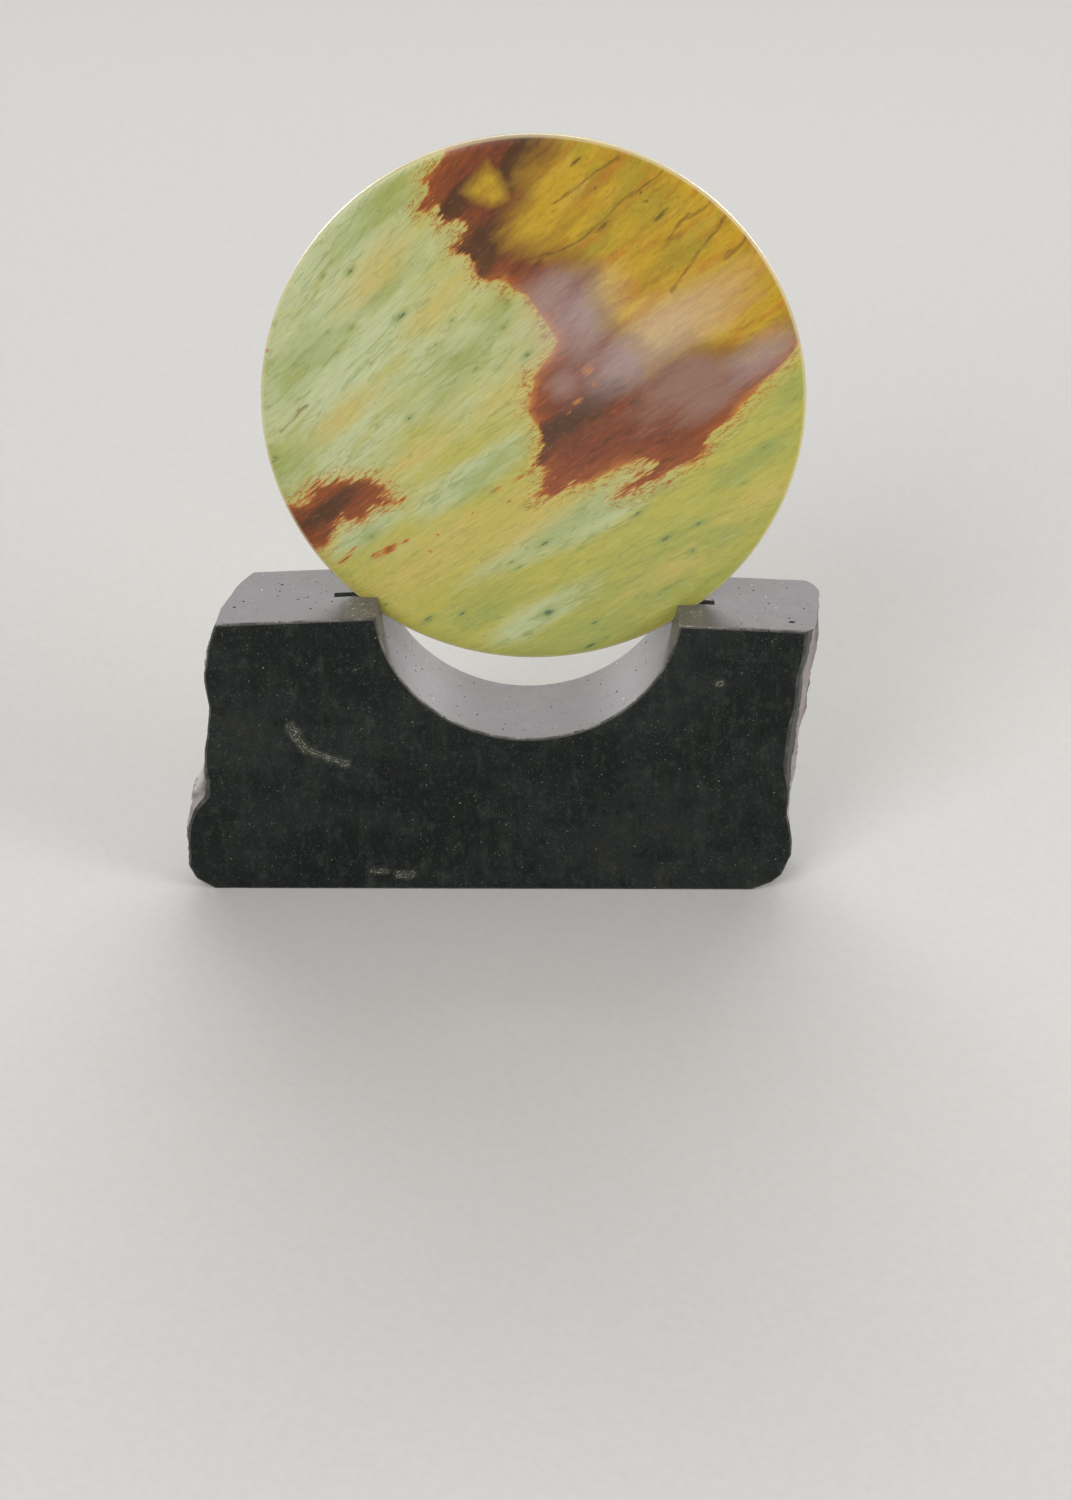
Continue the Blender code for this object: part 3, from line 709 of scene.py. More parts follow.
    # Fibrous light and dark, and a painted glow along the rim: its last mm is made paler, as where light
    # shines through the thin jade and catches on the round-over
    colour = add(tree, "ShaderNodeMix", {0: 0.24, 6: colour, 7: fibres}, data_type="RGBA",
                 blend_type="OVERLAY")[2]
    colour = layered(tree, colour, ("E0D3A8", marks["rim"], 1.5, 0.2, 0.6))

    # Orange peel 1.2 mm across with fibres that stand out a little
    peel = mottle(tree, place, 1.2, 6, 2.0)
    height = add(tree, "ShaderNodeMath", {0: fibres, 1: 0.7, 2: peel}, operation="MULTIPLY_ADD")[0]
    gloss = add(tree, "ShaderNodeMapRange", {"Value": peel, "To Min": 0.27, "To Max": 0.40})
    return surfaced(mat, {
        "Base Color": colour, "Roughness": gloss[0], "IOR": 1.61, "Specular IOR Level": 0.30,
        "Subsurface Weight": 0.15, "Subsurface Radius": (1.0, 1.0, 0.5), "Subsurface Scale": 1.5 * MM,
    }, height, 0.045)


# Block
def along(table, share):
    """Value of a table of (share, value) rows at one share, straight between its rows."""
    shares, values = zip(*table)
    return float(np.interp(share, shares, values))


def corner_z(side):
    """Height of a shoulder's inner corner: side -1 is left, +1 is right."""
    return STAND_HEIGHT if side < 0 else STAND_HEIGHT - SHOULDER_STEP


def wall_x(side, height):
    """Where the cut-out's wall stands on one side at one height."""
    return CUTOUT_X + side * math.sqrt(CUTOUT_RADIUS ** 2 - (height - CUTOUT_Z) ** 2)


def shoulder_z(side, x):
    """Height of a shoulder's top at x: it falls away outwards from its inner corner."""
    top = corner_z(side)
    return top - side * (x - wall_x(side, top)) * SHOULDER_FALL


def end_x(side, share, depth):
    """The left or right end of the block, at a share of the shoulder's height and a depth."""
    back = depth / STAND_DEPTH
    front_bevel = max(0.0, 1.0 - depth / FRONT_BEVEL_DEPTH)
    if side < 0:
        inset = along(LEFT_END, share) + along(LEFT_PLAN, back) + along(LEFT_LEDGE, share) * front_bevel
    else:
        turn = along(RIGHT_TURN, back)
        inset = along(RIGHT_END, share) * (1.0 - turn) + along(RIGHT_BACK, share) * turn
        inset += along(RIGHT_CORNER, back) + along(RIGHT_BEVEL, share) * front_bevel
    place = Vector((share * STAND_HEIGHT / SKIN_GRAIN, depth / SKIN_GRAIN, side))
    inset = max(0.0, inset * MM + SKIN_RELIEF * noise.noise(place))
    return side * (STAND_WIDTH / 2 - inset)


def steps_between(run, longest):
    """Shares that divide a run into equal steps no longer than longest, both ends left out."""
    count = max(1, math.ceil(abs(run) / longest))
    return [step / count for step in range(1, count)]


def section(depth):
    """Closed outline of the block at one depth, anticlockwise from the left foot, as (point, broken)."""
    ends, tops = {}, {}
    end_shares = [0.0, *steps_between(STAND_HEIGHT, END_STEP), 1.0]
    for side in (-1, 1):
        top = shoulder_z(side, end_x(side, 1.0, depth))
        ends[side] = [(Vector((end_x(side, share, depth), share * top)), True) for share in end_shares]
        start, inner = ends[side][-1][0].x, wall_x(side, corner_z(side))
        shares = steps_between(end_x(side, 1.0, 0.0) - inner, SAWN_STEP)
        xs = [start + (inner - start) * share for share in shares]
        tops[side] = [(Vector((x, shoulder_z(side, x))), False) for x in xs]
    corners = [(wall_x(side, corner_z(side)) - CUTOUT_X, corner_z(side) - CUTOUT_Z) for side in (1, -1)]
    first, last = (math.atan2(height, across) for across, height in corners)
    swing = last - first - (2 * math.pi if last > first else 0.0)
    turns = [first + swing * share for share in (0.0, *steps_between(swing * CUTOUT_RADIUS, SAWN_STEP), 1.0)]
    arc = [(Vector((CUTOUT_X + CUTOUT_RADIUS * math.cos(turn), CUTOUT_Z + CUTOUT_RADIUS * math.sin(turn))),
            False) for turn in turns]
    left_foot, right_foot = ends[-1][0][0], ends[1][0][0]
    foot_shares = steps_between(STAND_WIDTH, UNDERSIDE_STEP)
    underside = [(left_foot.lerp(right_foot, share), False) for share in foot_shares]
    return ends[-1][:1] + underside + ends[1] + tops[1] + arc + list(reversed(ends[-1][1:] + tops[-1]))


def neighbours(outline):
    """Each point of a closed outline between the ones before and after it, each as (point, broken)."""
    return zip(outline[-1:] + outline[:-1], outline, outline[1:] + outline[:1])


def eased(outline, inset):
    """The same outline moved inwards by an inset, square to its own edges."""
    moved = []
    for (before, _), (point, broken), (after, _) in neighbours(outline):
        first = (point - before).normalized()
        second = (after - point).normalized()
        inward = Vector((-first.y - second.y, first.x + second.x)).normalized()
        mitre = max(LEAST_MITRE, inward.dot(Vector((-first.y, first.x))))
        moved.append((point + inward * (inset / mitre), broken))
    return moved


def relaxed(outline):
    """The same outline with its kinks drawn out, so that it doesn't cross itself."""
    return [((before + 2 * point + after) / 4, broken)
            for (before, _), (point, broken), (after, _) in neighbours(outline)]


def block_rings():
    """Outlines from front to back; each face has an inner ring and a quarter round for its arris."""
    turns = [step / ARRIS_STEPS * math.pi / 2 for step in range(ARRIS_STEPS + 1)]
    round_over = [(0.0, FACE_RING)]
    round_over += [(ARRIS * (1 - math.cos(turn)), ARRIS * (1 - math.sin(turn))) for turn in turns]
    run = STAND_DEPTH - 2 * ARRIS
    inner = [(ARRIS + share * run, 0.0) for share in steps_between(run, END_STEP)]
    plan = round_over + inner + [(STAND_DEPTH - depth, inset) for depth, inset in reversed(round_over)]
    outlines = [(depth, eased(section(depth), inset)) for depth, inset in plan]
    for ring in (0, -1):
        depth, outline = outlines[ring]
        outlines[ring] = depth, relaxed(relaxed(outline))
    return outlines


def broken_relief(place, settings):
    """How far a point of an end stands out: shallow scallops between ridges, lumps and coarse grain."""
    nearest = noise.voronoi(place / SCALLOP_WIDTH)[0][0]
    scallop = min(1.0, nearest ** 2) - SCALLOP_SINK
    lumps = noise.fractal(place / LUMP_WIDTH, *LUMP_FRACTAL)
    grain = noise.noise(place / GRAIN_WIDTH)
    return settings.break_relief * scallop + settings.lump_relief * (lumps + GRAIN_SHARE * grain)


def flat_face(bm, loop):
    """Fills a flat face inside its loop with even triangles."""
    border = [Vector((vert.co.x, vert.co.z)) for vert in loop]
    y = loop[0].co.y
    xs = np.arange(STAND_LOW.x, STAND_HIGH.x, HONED_STEP)
    zs = np.arange(0.0, STAND_HEIGHT, HONED_STEP)
    lattice = np.array([(x, z) for x in xs for z in zs])
    clear = signed_distance(lattice, [tuple(point) for point in border]) > HONED_STEP / 2
    points = border + [Vector(point) for point in lattice[clear]]
    made = delaunay_2d_cdt(points, [], [list(range(len(border)))], 1, MERGE_DISTANCE)
    verts = [loop[source[0]] if source[0] < len(border) else bm.verts.new((point.x, y, point.y))
             for point, source in zip(made[0], made[3])]
    for face in made[2]:
        bm.faces.new([verts[i] for i in face])


def make_block(settings):
    """The block before its slots: outlines joined from front to back, with rough ends."""
    bm = bmesh.new()
    loops = []
    for depth, outline in block_rings():
        loop = []
        for point, broken in outline:
            place = Vector((point.x, FRONT_Y + depth, point.y))
            if broken:
                edge = min(depth, STAND_DEPTH - depth, point.y, max(0.0, STAND_HEIGHT - CALM_TOP - point.y))
                fade = CALM_SHARE + (1 - CALM_SHARE) * min(1.0, edge / CALM_BORDER)
                push = fade * (broken_relief(place, settings) - RELIEF_SINK)
                place.x += math.copysign(push, push * point.x)
            loop.append(bm.verts.new(place))
        loops.append(loop)
    for near, far in zip(loops, loops[1:]):
        for i, vert in enumerate(near):
            bm.faces.new((near[i - 1], vert, far[i], far[i - 1]))
    flat_face(bm, loops[0])
    flat_face(bm, loops[-1])
    bmesh.ops.recalc_face_normals(bm, faces=bm.faces)
    return finish_object("basalt_block", bm)


def kerf_end(side):
    """Where a saw cut ends at the side, a short run beyond the disc's rim."""
    rise = (DISC_CENTRE.z - STAND_HEIGHT) / math.cos(LEAN)
    shoulder = shoulder_z(side, wall_x(side, corner_z(side) - SLOT_DEPTH)) - STAND_HEIGHT
    half_chord = math.sqrt(DISC_RADIUS ** 2 - (rise - shoulder) ** 2)
    return DISC_CENTRE.x + side * (half_chord + KERF_RUNS[side])


def make_kerf(side):
    """Cutter for one saw cut, from the middle of the cut-out to its open run beyond the disc's rim."""
    across, up, out = disc_axes()
    floor = (corner_z(side) - SLOT_DEPTH - STAND_HEIGHT) / math.cos(LEAN)
    outer_x = kerf_end(side)
    top = Vector((0.0, FRONT_Y + DISC_SETBACK, STAND_HEIGHT))
    bm = bmesh.new()
    bmesh.ops.create_cube(bm, size=1.0)
    for vert in bm.verts:
        x = outer_x if vert.co.x * side > 0 else CUTOUT_X
        z = SLOT_DEPTH if vert.co.z > 0 else floor
        vert.co = top + across * x + up * z + out * math.copysign(KERF_WIDTH / 2, -vert.co.y)
    bmesh.ops.recalc_face_normals(bm, faces=bm.faces)
    return finish_object("saw_cut", bm)


def make_hole(across, back, size):
    """Cutter for one large gas hole in a shoulder: a lumpy ball, half sunk in the top."""
    side = math.copysign(1.0, across)
    centre = Vector((across * MM, FRONT_Y + back * MM, shoulder_z(side, across * MM)))
    bm = bmesh.new()
    bmesh.ops.create_icosphere(bm, subdivisions=2, radius=size / 2 * MM)
    for vert in bm.verts:
        stretched = Vector([reach * by for reach, by in zip(vert.co, LARGE_STRETCH)])
        lumps = noise.noise((centre + vert.co) / LARGE_LUMP_WIDTH)
        vert.co = centre + stretched * (1 + LARGE_LUMPS * lumps)
    bmesh.ops.recalc_face_normals(bm, faces=bm.faces)
    return finish_object("large_hole", bm)


def plain_mesh(obj):
    """Puts an object's evaluated mesh in place of its modifiers."""
    evaluated = obj.evaluated_get(bpy.context.evaluated_depsgraph_get())
    mesh = bpy.data.meshes.new_from_object(evaluated)
    obj.modifiers.clear()
    obj.data = mesh


def cut(target, cutters, finish):
    """Cuts cutters out of a block, their walls given one finish, and takes the cutters away."""
    for cutter in cutters:
        for mat in target.data.materials:
            cutter.data.materials.append(mat)
        for face in cutter.data.polygons:
            face.material_index = SLOTS[finish]
        boolean = target.modifiers.new(cutter.name, "BOOLEAN")
        boolean.operation = "DIFFERENCE"
        boolean.solver = "MANIFOLD"
        boolean.object = cutter
    plain_mesh(target)
    for cutter in cutters:
        bpy.data.objects.remove(cutter)


def face_finish(face):
    """Which finish a face of the block has, told by where it lies and which way it faces."""
    middle, normal = face.center, face.normal
    depth = min(middle.y - FRONT_Y, BACK_Y - middle.y)
    side = math.copysign(1.0, middle.x)
    at_end = middle.x * side > end_x(side, 0.5, 0.0) * side - END_ZONE
    if abs(normal.y) > HONED_FACING and depth < 0.01 * MM:
        return "honed"
    if abs(normal.y) > ARRIS_FACING and depth < ARRIS:
        upright = at_end and abs(normal.x) > abs(normal.z)
        return "ground" if upright or middle.z < FOOT_ZONE else "worn"
    return "broken" if at_end and abs(normal.z) < TOP_FACING else "sawn"


def gas_hole_tree():
    """Scatters gas holes over a block by a share stored on its faces, and cuts them out.

    Inputs: geometry, spacing, smallest and largest width, and the lining's material."""
    tree = bpy.data.node_groups.new("gas_holes", "GeometryNodeTree")
    for name, kind in (("Geometry", "Geometry"), ("Spacing", "Float"), ("Smallest", "Float"),
                       ("Largest", "Float"), ("Lining", "Material")):
        tree.interface.new_socket(name=name, in_out="INPUT", socket_type="NodeSocket" + kind)
    tree.interface.new_socket(name="Geometry", in_out="OUTPUT", socket_type="NodeSocketGeometry")
    given = add(tree, "NodeGroupInput")
    share = add(tree, "GeometryNodeInputNamedAttribute", {"Name": "hole_share"}, data_type="FLOAT")
    points = add(tree, "GeometryNodeDistributePointsOnFaces",
                 {"Mesh": given["Geometry"], "Distance Min": given["Spacing"], "Density Max": HOLE_DENSITY,
                  "Density Factor": share[0], "Seed": 7}, distribute_method="POISSON")
    ball = add(tree, "GeometryNodeMeshIcoSphere", {"Radius": 0.5, "Subdivisions": 2})
    # Few holes are as large as the largest
    chance = add(tree, "FunctionNodeRandomValue", {2: 0.0, 3: 1.0, "Seed": 11}, data_type="FLOAT")
    rare = add(tree, "ShaderNodeMath", {0: chance[1], 1: 2.0}, operation="POWER")
    width = add(tree, "ShaderNodeMapRange", {"Value": rare[0], "To Min": given["Smallest"],
                                             "To Max": given["Largest"]})
    shape = add(tree, "FunctionNodeRandomValue",
                {0: HOLE_STRETCHES[0], 1: HOLE_STRETCHES[1], "Seed": 12}, data_type="FLOAT_VECTOR")
    size = add(tree, "ShaderNodeVectorMath", {0: shape[0], 3: width[0]}, operation="SCALE")
    turn = add(tree, "FunctionNodeRandomValue", {0: (0.0, 0.0, 0.0), 1: (FULL_TURN,) * 3, "Seed": 13},
               data_type="FLOAT_VECTOR")
    holes = add(tree, "GeometryNodeInstanceOnPoints",
                {"Points": points["Points"], "Instance": ball["Mesh"],
                 "Rotation": turn[0], "Scale": size[0]})
    solid = add(tree, "GeometryNodeRealizeInstances", {"Geometry": holes[0]})
    lined = add(tree, "GeometryNodeSetMaterial", {"Geometry": solid[0], "Material": given["Lining"]})
    pierced = add(tree, "GeometryNodeMeshBoolean", {0: given["Geometry"], 1: lined[0]},
                  operation="DIFFERENCE", solver="MANIFOLD")
    whole = add(tree, "GeometryNodeRealizeInstances", {"Geometry": pierced[0]})
    lining = add(tree, "GeometryNodeMaterialSelection", {"Material": given["Lining"]})
    last = add(tree, "GeometryNodeSetMaterial", {"Geometry": whole[0], "Selection": lining[0],
                                                 "Material": given["Lining"]})
    add(tree, "NodeGroupOutput", {"Geometry": last[0]})
    return tree


def pierce(stand, settings, lining):
    """Cuts the gas holes into the stand with the tree above, and leaves a plain mesh."""
    shares = [share for make, share in FINISHES.values()]
    layer = stand.data.attributes.new("hole_share", "FLOAT", "FACE")
    layer.data.foreach_set("value", [shares[face.material_index] for face in stand.data.polygons])
    modifier = stand.modifiers.new("gas_holes", "NODES")
    modifier.node_group = gas_hole_tree()
    values = {"Spacing": settings.hole_spacing, "Smallest": SMALLEST_HOLE, "Largest": settings.hole_size,
              "Lining": lining}
    for item in modifier.node_group.interface.items_tree:
        if item.name in values:
            modifier[item.identifier] = values[item.name]
    plain_mesh(stand)
    shade(stand.data)


def make_stand(settings):
    """The block with its slots and gas holes, and a finish for each kind of face."""
    stand = make_block(settings)
    for make, share in FINISHES.values():
        stand.data.materials.append(make(settings))
    for face in stand.data.polygons:
        face.material_index = SLOTS[face_finish(face)]
    bed = turned_disc("disc_bed", DISC_RADIUS + SEAT_GAP, SIDE_GAP)
    cut(stand, [make_kerf(-1), make_kerf(1), bed], "ground")
    cut(stand, [make_hole(*hole) for hole in LARGE_HOLES], "hollow")
    pierce(stand, settings, stand.data.materials[SLOTS["hollow"]])
    return stand


# Finishes of the block; sizes in them are in mm
def grain_specks(tree, place, spacing, size, share, seed):
    """Small separate grains: 1 inside one, up to a size across, in a share of the cells of a spacing."""
    bent = add(tree, "ShaderNodeTexNoise", {"Vector": place, "Scale": 1.6 / size, "Detail": 1.0})
    moved = add(tree, "ShaderNodeVectorMath", {0: bent["Color"], 1: [size] * 3, 2: place},
                operation="MULTIPLY_ADD")
    moved = add(tree, "ShaderNodeVectorMath", {0: moved[0], 1: (seed * 100.0, seed * 70.0, 0.0)},
                operation="ADD")
    cells = add(tree, "ShaderNodeTexVoronoi", {"Vector": moved[0], "Scale": 1 / spacing})
    own = add(tree, "ShaderNodeSeparateColor", {0: cells["Color"]})
    stretch = add(tree, "ShaderNodeMapRange", {"Value": own[1], "To Min": 1.0, "To Max": 2.6})
    away = product(tree, cells["Distance"], stretch[0])
    dot = add(tree, "ShaderNodeMapRange", {"Value": away, "From Min": 0.5 * size / spacing,
                                           "From Max": 0.25 * size / spacing})
    pick = add(tree, "ShaderNodeMath", {0: own[0], 1: share}, operation="LESS_THAN")
    return product(tree, dot[0], pick[0])


def lime_thread(tree, place, start, end):
    """Distance of a point of the front face from a line between two places on it."""
    run = Vector(end) - Vector(start)
    offset = add(tree, "ShaderNodeVectorMath", {0: place, 1: (start[0], 0.0, start[1])}, operation="SUBTRACT")
    reach = add(tree, "ShaderNodeVectorMath",
                {0: offset[0], 1: (run.x / run.length_squared, 0.0, run.y / run.length_squared)},
                operation="DOT_PRODUCT")
    share = add(tree, "ShaderNodeClamp", {"Value": reach["Value"]})
    nearest = add(tree, "ShaderNodeVectorMath", {0: (run.x, 0.0, run.y), 3: share[0]},
                  operation="SCALE")
    return add(tree, "ShaderNodeVectorMath", {0: offset[0], 1: nearest[0]},
               operation="DISTANCE")["Value"]


def honed_material(settings):
    """Basalt, sawn and honed with a fine grit on its front and back.

    Near-black with a little green, a satin surface that gives hardly any shine, clouded by slight wear and
    dotted with pale grains 0.3 to 0.6 mm across, with threads of lime on the front."""
    mat, tree, place = new_material("honed_basalt")
    clouds = mottle(tree, place, (38, 38, 30), 1, 4.0, 0.6)
    blotches = mottle(tree, place, (7, 7, 9), 2, 5.0, 0.65)
    grit = mottle(tree, place, 0.9, 3, 3.0, 0.7)
    wiping = mottle(tree, place, (3, 8, 26), 4, 4.0, 0.6)
    smudges = mottle(tree, place, (2.6, 2.6, 3.4), 5, 4.0, 0.6)
    crumbs = mottle(tree, place, 0.8, 6, 2.0, 0.6)
    dust = mottle(tree, place, 16, 8)
    small = product(tree, grain_specks(tree, place, 1.2, 1.0, 0.8, 1), dust)
    large = product(tree, grain_specks(tree, place, 2.6, 1.5, 0.5, 2), blotches)

    # Crumbly threads of lime that wander up to 2.5 mm off a line, drawn as a core and a loose outer line
    warp = add(tree, "ShaderNodeTexNoise", {"Vector": place, "Scale": 0.25, "Detail": 3.0})
    wander = add(tree, "ShaderNodeVectorMath",
                 {0: warp["Color"], 1: (5.0, 0.0, 5.0), 2: (-2.5, 0.0, -2.5)},
                 operation="MULTIPLY_ADD")
    flat = add(tree, "ShaderNodeVectorMath", {0: place, 1: (1.0, 0.0, 1.0), 2: wander[0]},
               operation="MULTIPLY_ADD")
    nearest = 1000.0
    for start, end in LIME_THREADS:
        away = lime_thread(tree, flat[0], start, end)
        nearest = add(tree, "ShaderNodeMath", {0: nearest, 1: away}, operation="MINIMUM")[0]
    depth = add(tree, "ShaderNodeSeparateXYZ", {0: place})["Y"]
    front = add(tree, "ShaderNodeMath", {0: depth, 1: (FRONT_Y + ARRIS) / MM}, operation="LESS_THAN")[0]
    lines = add(tree, "ShaderNodeMath",
                {0: thin_line(tree, nearest, 1.1, 0.5), 1: thin_line(tree, nearest, 0.1, 0.4)},
                operation="MAXIMUM")[0]

    colour = layered(
        tree, settings.honed,
        ("242926", clouds, 0.42, 0.66, 0.8),
        ("101212", blotches, 0.48, 0.28, 0.8),
        ("363A36", blotches, 0.52, 0.74, 0.6),
        ("363935", smudges, 0.52, 0.74, 0.6),
        ("444743", grit, 0.54, 0.78, 0.55),
        ("34362F", wiping, 0.50, 0.80, 0.4),
        ("33241A", product(tree, clouds, blotches), 0.32, 0.46, 0.2),
        ("5E605A", small, 0.24, 0.54, 0.8),
        ("8A8980", large, 0.30, 0.52, 0.85),
        (settings.lime, product(tree, lines, front, crumbs), 0.42, 0.60, 0.9),
        ("5A5B50", product(tree, thin_line(tree, nearest, 0.0, 4.5), front), 0.2, 1.0, 0.35))
    rough = add(tree, "ShaderNodeMapRange", {"Value": blotches, "To Min": 0.46, "To Max": 0.62})
    return surfaced(mat, {"Base Color": colour, "Roughness": rough[0], "IOR": 1.58,
                          "Specular IOR Level": 0.12}, grit, 0.04, 0.6)


def worn_material(settings):
    """Basalt arris, bruised where the honed face meets a sawn one.

    The bruises are crushed to cream, so the edge reads as a thin broken line of pale dots above a dark
    band where it turns to the front or the back."""
    mat, tree, place = new_material("bruised_basalt_edge")
    dots = mottle(tree, place, 1.1, 1, 4.0, 0.7)
    runs = mottle(tree, place, 9, 2, 3.0, 0.6)
    facing = add(tree, "ShaderNodeSeparateXYZ", {0: add(tree, "ShaderNodeNewGeometry")["Normal"]})
    front = add(tree, "ShaderNodeMath", {0: facing["Y"]}, operation="ABSOLUTE")[0]
    colour = layered(
        tree, "3A3734",
        ("7A7670", runs, 0.36, 0.62, 0.9),
        (settings.lime, shifted(tree, dots, (runs, 0.7)), 0.56, 0.70, 0.7),
        ("2A2A28", front, 0.62, 0.80, 0.8))
    return surfaced(mat, {"Base Color": colour, "Roughness": 0.62, "IOR": 1.58}, dots, 0.15, 0.8)


def ground_material(settings):
    """Basalt edge beside the broken ends and along the foot, rubbed down with a stone.

    Dark grey and dull, a little paler than the honed face, with scattered pale grains."""
    mat, tree, place = new_material("rubbed_basalt_edge")
    blotches = mottle(tree, place, (3.5, 3.5, 5), 1, 5.0, 0.65)
    grit = mottle(tree, place, 0.8, 2, 3.0, 0.7)
    colour = layered(tree, "2C2E2B", ("504F4C", blotches, 0.42, 0.64, 0.9), ("7E7A73", grit, 0.60, 0.80, 0.7))
    return surfaced(mat, {"Base Color": colour, "Roughness": 0.6, "IOR": 1.58, "Specular IOR Level": 0.4},
                    grit, 0.12, 0.8)


def sawn_material(settings):
    """Basalt as the diamond saw leaves it, on the tops, the cut-out, the slots and the underside.

    Mid grey with a purplish tinge and a broad soft sheen, faint saw marks, dark specks painted as the shade
    of pinholes, pale bruises beside them, and painted shade on the tongues in front of the slots."""
    mat, tree, place = new_material("sawn_basalt")
    clouds = mottle(tree, place, 14, 1, 4.0, 0.6)
    mottling = mottle(tree, place, 2.2, 2, 4.0, 0.65)
    grit = mottle(tree, place, 0.5, 3, 2.0, 0.6)
    strokes = mottle(tree, place, (30, 0.7, 30), 4, 3.0, 0.6)
    upright = add(tree, "ShaderNodeVectorMath", {0: place, 1: (1.0, 1.0, 0.45)}, operation="MULTIPLY")
    bruises = product(tree, grain_specks(tree, place, 3.0, 1.1, 0.5, 4), mottling)

    # The tongues in front of the slots: painted shade darkens them, where the disc stands between them and
    # the light behind, and pale crumbs lie on them
    where = add(tree, "ShaderNodeSeparateXYZ", {0: place})
    fore = add(tree, "ShaderNodeMath", {0: where["Y"], 1: (FRONT_Y + DISC_SETBACK) / MM},
               operation="LESS_THAN")
    high = add(tree, "ShaderNodeMath", {0: where["Z"], 1: (corner_z(1) - SLOT_DEPTH) / MM},
               operation="GREATER_THAN")
    tongue = product(tree, fore[0], high[0])
    for side in (-1, 1):
        end = kerf_end(side) / MM
        inward = add(tree, "ShaderNodeMapRange",
                     {"Value": where["X"], "From Min": end - side * 1.0, "From Max": end - side * 5.0})
        tongue = product(tree, tongue, inward[0])

    colour = layered(
        tree, settings.sawn,
        ("686464", clouds, 0.42, 0.64, 0.6),
        ("403D3A", mottling, 0.46, 0.26, 0.6),
        ("787272", grit, 0.56, 0.82, 0.5),
        ("726E6C", strokes, 0.56, 0.76, 0.35),
        # Painted shade: near-black specks stand for the shade inside pinholes
        ("151413", grain_specks(tree, upright[0], 4.2, 1.2, 0.22, 3), 0.2, 0.8, 0.9),
        ("CFC9C0", bruises, 0.25, 0.55, 0.85),
        # Painted shade on the tongues in front of the slots
        ("57534A", product(tree, tongue, clouds), 0.0, 0.4, 0.7),
        ("D2CAB4", product(tree, tongue, mottling), 0.58, 0.72, 0.7),
        ("A39C88", product(tree, tongue, grit), 0.52, 0.68, 0.6),
        # Pale curls about 2 mm long, where the grit has scratched
        (settings.lime, product(tree, thin_line(tree, mottling, 0.62, 0.012), clouds), 0.35, 0.75, 0.5))
    height = add(tree, "ShaderNodeMath", {0: strokes, 1: grit}, operation="ADD")[0]
    rough = add(tree, "ShaderNodeMapRange", {"Value": clouds, "To Min": 0.54, "To Max": 0.64})
    return surfaced(mat, {"Base Color": colour, "Roughness": rough[0], "IOR": 1.58,
                          "Specular IOR Level": 0.6}, height, 0.03, 0.5)


def broken_material(settings):
    """Basalt as it broke, then weathered, on the two ends.

    A rough pinkish grey skin with rusty films in places, painted shade in the hollows of its bump and painted
    light on its ridges, and a painted sheen where it faces up, as where light from above falls on it."""
    mat, tree, place = new_material("weathered_broken_basalt")
    patches = mottle(tree, place, (18, 18, 22), 1, 4.0, 0.6)
    lumps = mottle(tree, place, (4, 4, 5), 2, 5.0, 0.65)
    grit = mottle(tree, place, 1, 3, 4.0, 0.7)
    facing = add(tree, "ShaderNodeSeparateXYZ", {0: add(tree, "ShaderNodeNewGeometry")["Normal"]})
    colour = layered(
        tree, settings.broken,
        ("8A7F7D", patches, 0.44, 0.64, 0.8),
        # Painted shade: darker where the bump's lumps are low
        ("3F3D3B", lumps, 0.50, 0.30, 0.8),
        ("6A4F3E", product(tree, patches, lumps), 0.26, 0.40, 0.35),
        # Painted shade in the bump's hollows and painted light on its ridges
        ("2A2827", grit, 0.44, 0.24, 0.7),
        ("A39A94", grit, 0.58, 0.80, 0.7),
        # Painted sheen: facets that face up are made paler, as where light from above falls on them
        ("B4ADA9", facing["Z"], 0.05, 0.45, 0.85))

    # Beside the front of the right end a painted highlight makes the skin pale, as where the light from the
    # right falls on it; then it is rubbed down to a dark band
    where = add(tree, "ShaderNodeSeparateXYZ", {0: place})
    right = add(tree, "ShaderNodeMath", {0: where["X"], 1: 0.0}, operation="GREATER_THAN")[0]
    back = add(tree, "ShaderNodeMath", {0: where["Y"], 1: FRONT_Y / MM}, operation="SUBTRACT")[0]
    back = shifted(tree, back, (lumps, 2.4))
    for over, low, high, amount in (("ADA29E", 24.0, 8.0, 0.55), ("3E3F3D", 3.4, 2.6, 0.9)):
        band = add(tree, "ShaderNodeMapRange", {"Value": back, "From Min": low, "From Max": high})[0]
        colour = layered(tree, colour, (over, product(tree, band, right), 0.0, 1.0, amount))
    height = add(tree, "ShaderNodeMath", {0: lumps, 1: 2.0, 2: grit}, operation="MULTIPLY_ADD")[0]
    return surfaced(mat, {"Base Color": colour, "Roughness": 0.62, "IOR": 1.55, "Specular IOR Level": 0.6},
                    height, 0.3)


def hollow_material(settings):
    """Inside of the gas holes of the basalt: almost black, painted shade of the deep holes, dusty in places.
    """
    mat, tree, place = new_material("gas_hole_skin")
    colour = layered(tree, settings.hollow, ("5C5852", mottle(tree, place, 0.4, 1, 2.0), 0.56, 0.72, 0.6))
    return surfaced(mat, {"Base Color": colour, "Roughness": 0.6, "IOR": 1.55})


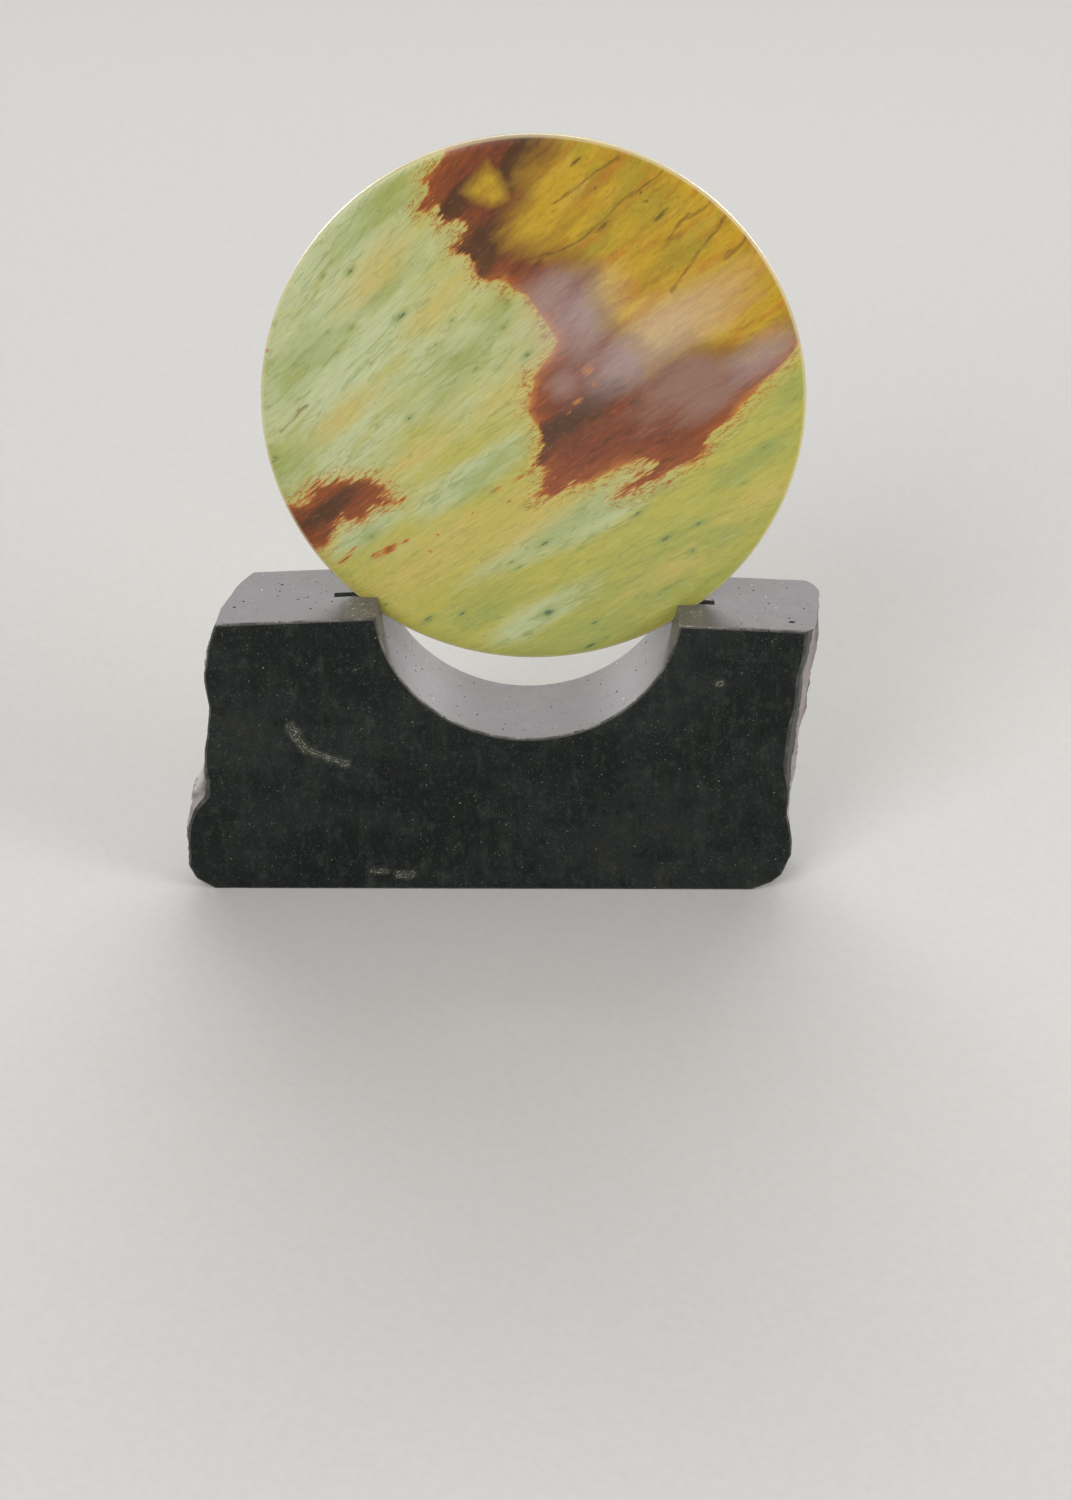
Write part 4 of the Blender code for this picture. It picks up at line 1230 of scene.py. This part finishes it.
# Each finish of the block, in slot order: its material, and the share of it that has gas holes or chips
FINISHES = {
    "honed": (honed_material, 0.010), "worn": (worn_material, 0.6), "ground": (ground_material, 0.08),
    "sawn": (sawn_material, 0.09), "broken": (broken_material, 0.15), "hollow": (hollow_material, 0.0),
}
SLOTS = {name: i for i, name in enumerate(FINISHES)}


# Studio
def board_material(settings):
    """Painted board, rolled with matt emulsion: pale, even and without shine."""
    mat, tree, place = new_material("matt_painted_board")
    nap = mottle(tree, place, 3, 1)
    colour = layered(tree, settings.floor, ("BFBDB9", nap, 0.3, 0.7, 0.3))
    return surfaced(mat, {"Base Color": colour, "Roughness": 0.85, "Specular IOR Level": 0.2}, nap, 0.1, 0.3)


def make_camera():
    """Makes the camera where the photograph was taken: 1.2 m away, looking 30.6 degrees down."""
    camera = bpy.data.cameras.new("camera")
    camera.lens, camera.sensor_width = LENS, SENSOR_WIDTH
    eye = new_object("camera", camera)
    eye.location = EYE
    turn = Matrix.Rotation(math.pi / 2 - PITCH, 3, "X") @ Matrix.Rotation(-ROLL, 3, "Z")
    eye.rotation_euler = turn.to_euler()
    bpy.context.scene.camera = eye


def make_softbox(name, place, target, size, spread, watts):
    """Makes a softbox at a place, turned towards a target; its grid narrows the spread, in degrees."""
    light = bpy.data.lights.new(name, "AREA")
    light.shape = "RECTANGLE"
    light.size, light.size_y = size
    light.energy = watts
    light.spread = math.radians(spread)
    softbox = new_object(name, light)
    softbox.location = place
    softbox.rotation_euler = (Vector(target) - Vector(place)).to_track_quat("-Z", "Y").to_euler()
    softbox.visible_camera = False


def make_studio(settings):
    """Makes the camera, the softboxes and an even fill, and gives the pale floor."""
    scene = bpy.context.scene
    scene.view_settings.view_transform = "Standard"
    make_camera()
    for *how, power_name in SOFTBOXES:
        make_softbox(*how, getattr(settings, power_name))
    world = bpy.data.worlds.new("studio")
    world.use_nodes = True
    inputs = world.node_tree.nodes["Background"].inputs
    inputs["Color"].default_value = linear("F2F2F4")
    inputs["Strength"].default_value = settings.fill
    scene.world = world
    bm = bmesh.new()
    bmesh.ops.create_circle(bm, cap_ends=True, segments=FLOOR_STEPS, radius=FLOOR_RADIUS)
    floor = finish_object("studio_floor", bm)
    floor.data.materials.append(board_material(settings))
    return floor


class GREENSTONE_OT_make_disc(Operator):
    """Make the polished jade disc"""
    bl_idname = "greenstone.make_disc"
    bl_label = "Jade Disc"

    def execute(self, context):
        settings = context.scene.greenstone_jade
        waves = settings.polish_relief, settings.polish_grain
        disc = turned_disc("greenstone_slice", DISC_RADIUS, 0.0, *waves)
        mark_jade(disc)
        disc.data.materials.append(jade_material(settings))
        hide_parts(DISC_NODE)
        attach(disc, "root")
        return {"FINISHED"}


class GREENSTONE_OT_make_stand(Operator):
    """Make the basalt block with its slots and gas holes"""
    bl_idname = "greenstone.make_stand"
    bl_label = "Basalt Stand"

    def execute(self, context):
        stand = make_stand(context.scene.greenstone_basalt)
        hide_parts(STAND_NODE)
        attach(stand, "root")
        return {"FINISHED"}


class GREENSTONE_OT_make_studio(Operator):
    """Make the floor, the lights and the camera"""
    bl_idname = "greenstone.make_studio"
    bl_label = "Studio"

    def execute(self, context):
        make_studio(context.scene.greenstone_studio)
        return {"FINISHED"}


GROUPS = {"greenstone_jade": JadeSettings, "greenstone_basalt": BasaltSettings,
          "greenstone_studio": StudioSettings}
OPERATORS = (GREENSTONE_OT_make_disc, GREENSTONE_OT_make_stand, GREENSTONE_OT_make_studio)


class GREENSTONE_PT_pieces(Panel):
    """Lists the pieces of the greenstone disc, with their settings"""
    bl_idname = "GREENSTONE_PT_pieces"
    bl_label = "Greenstone Disc"
    bl_space_type = "VIEW_3D"
    bl_region_type = "UI"
    bl_category = "Greenstone"

    def draw(self, context):
        for operator, name in zip(OPERATORS, GROUPS):
            box = self.layout.box()
            box.operator(operator.bl_idname)
            settings = getattr(context.scene, name)
            for setting in settings.__annotations__:
                box.prop(settings, setting)


CLASSES = (*GROUPS.values(), *OPERATORS, GREENSTONE_PT_pieces)


def register():
    for cls in CLASSES:
        bpy.utils.register_class(cls)
    for name, group in GROUPS.items():
        setattr(bpy.types.Scene, name, PointerProperty(type=group))


def unregister():
    for name in GROUPS:
        delattr(bpy.types.Scene, name)
    for cls in reversed(CLASSES):
        bpy.utils.unregister_class(cls)


def main():
    register()
    bpy.ops.greenstone.make_disc()
    bpy.ops.greenstone.make_stand()
    bpy.ops.greenstone.make_studio()


if __name__ == "__main__":
    main()
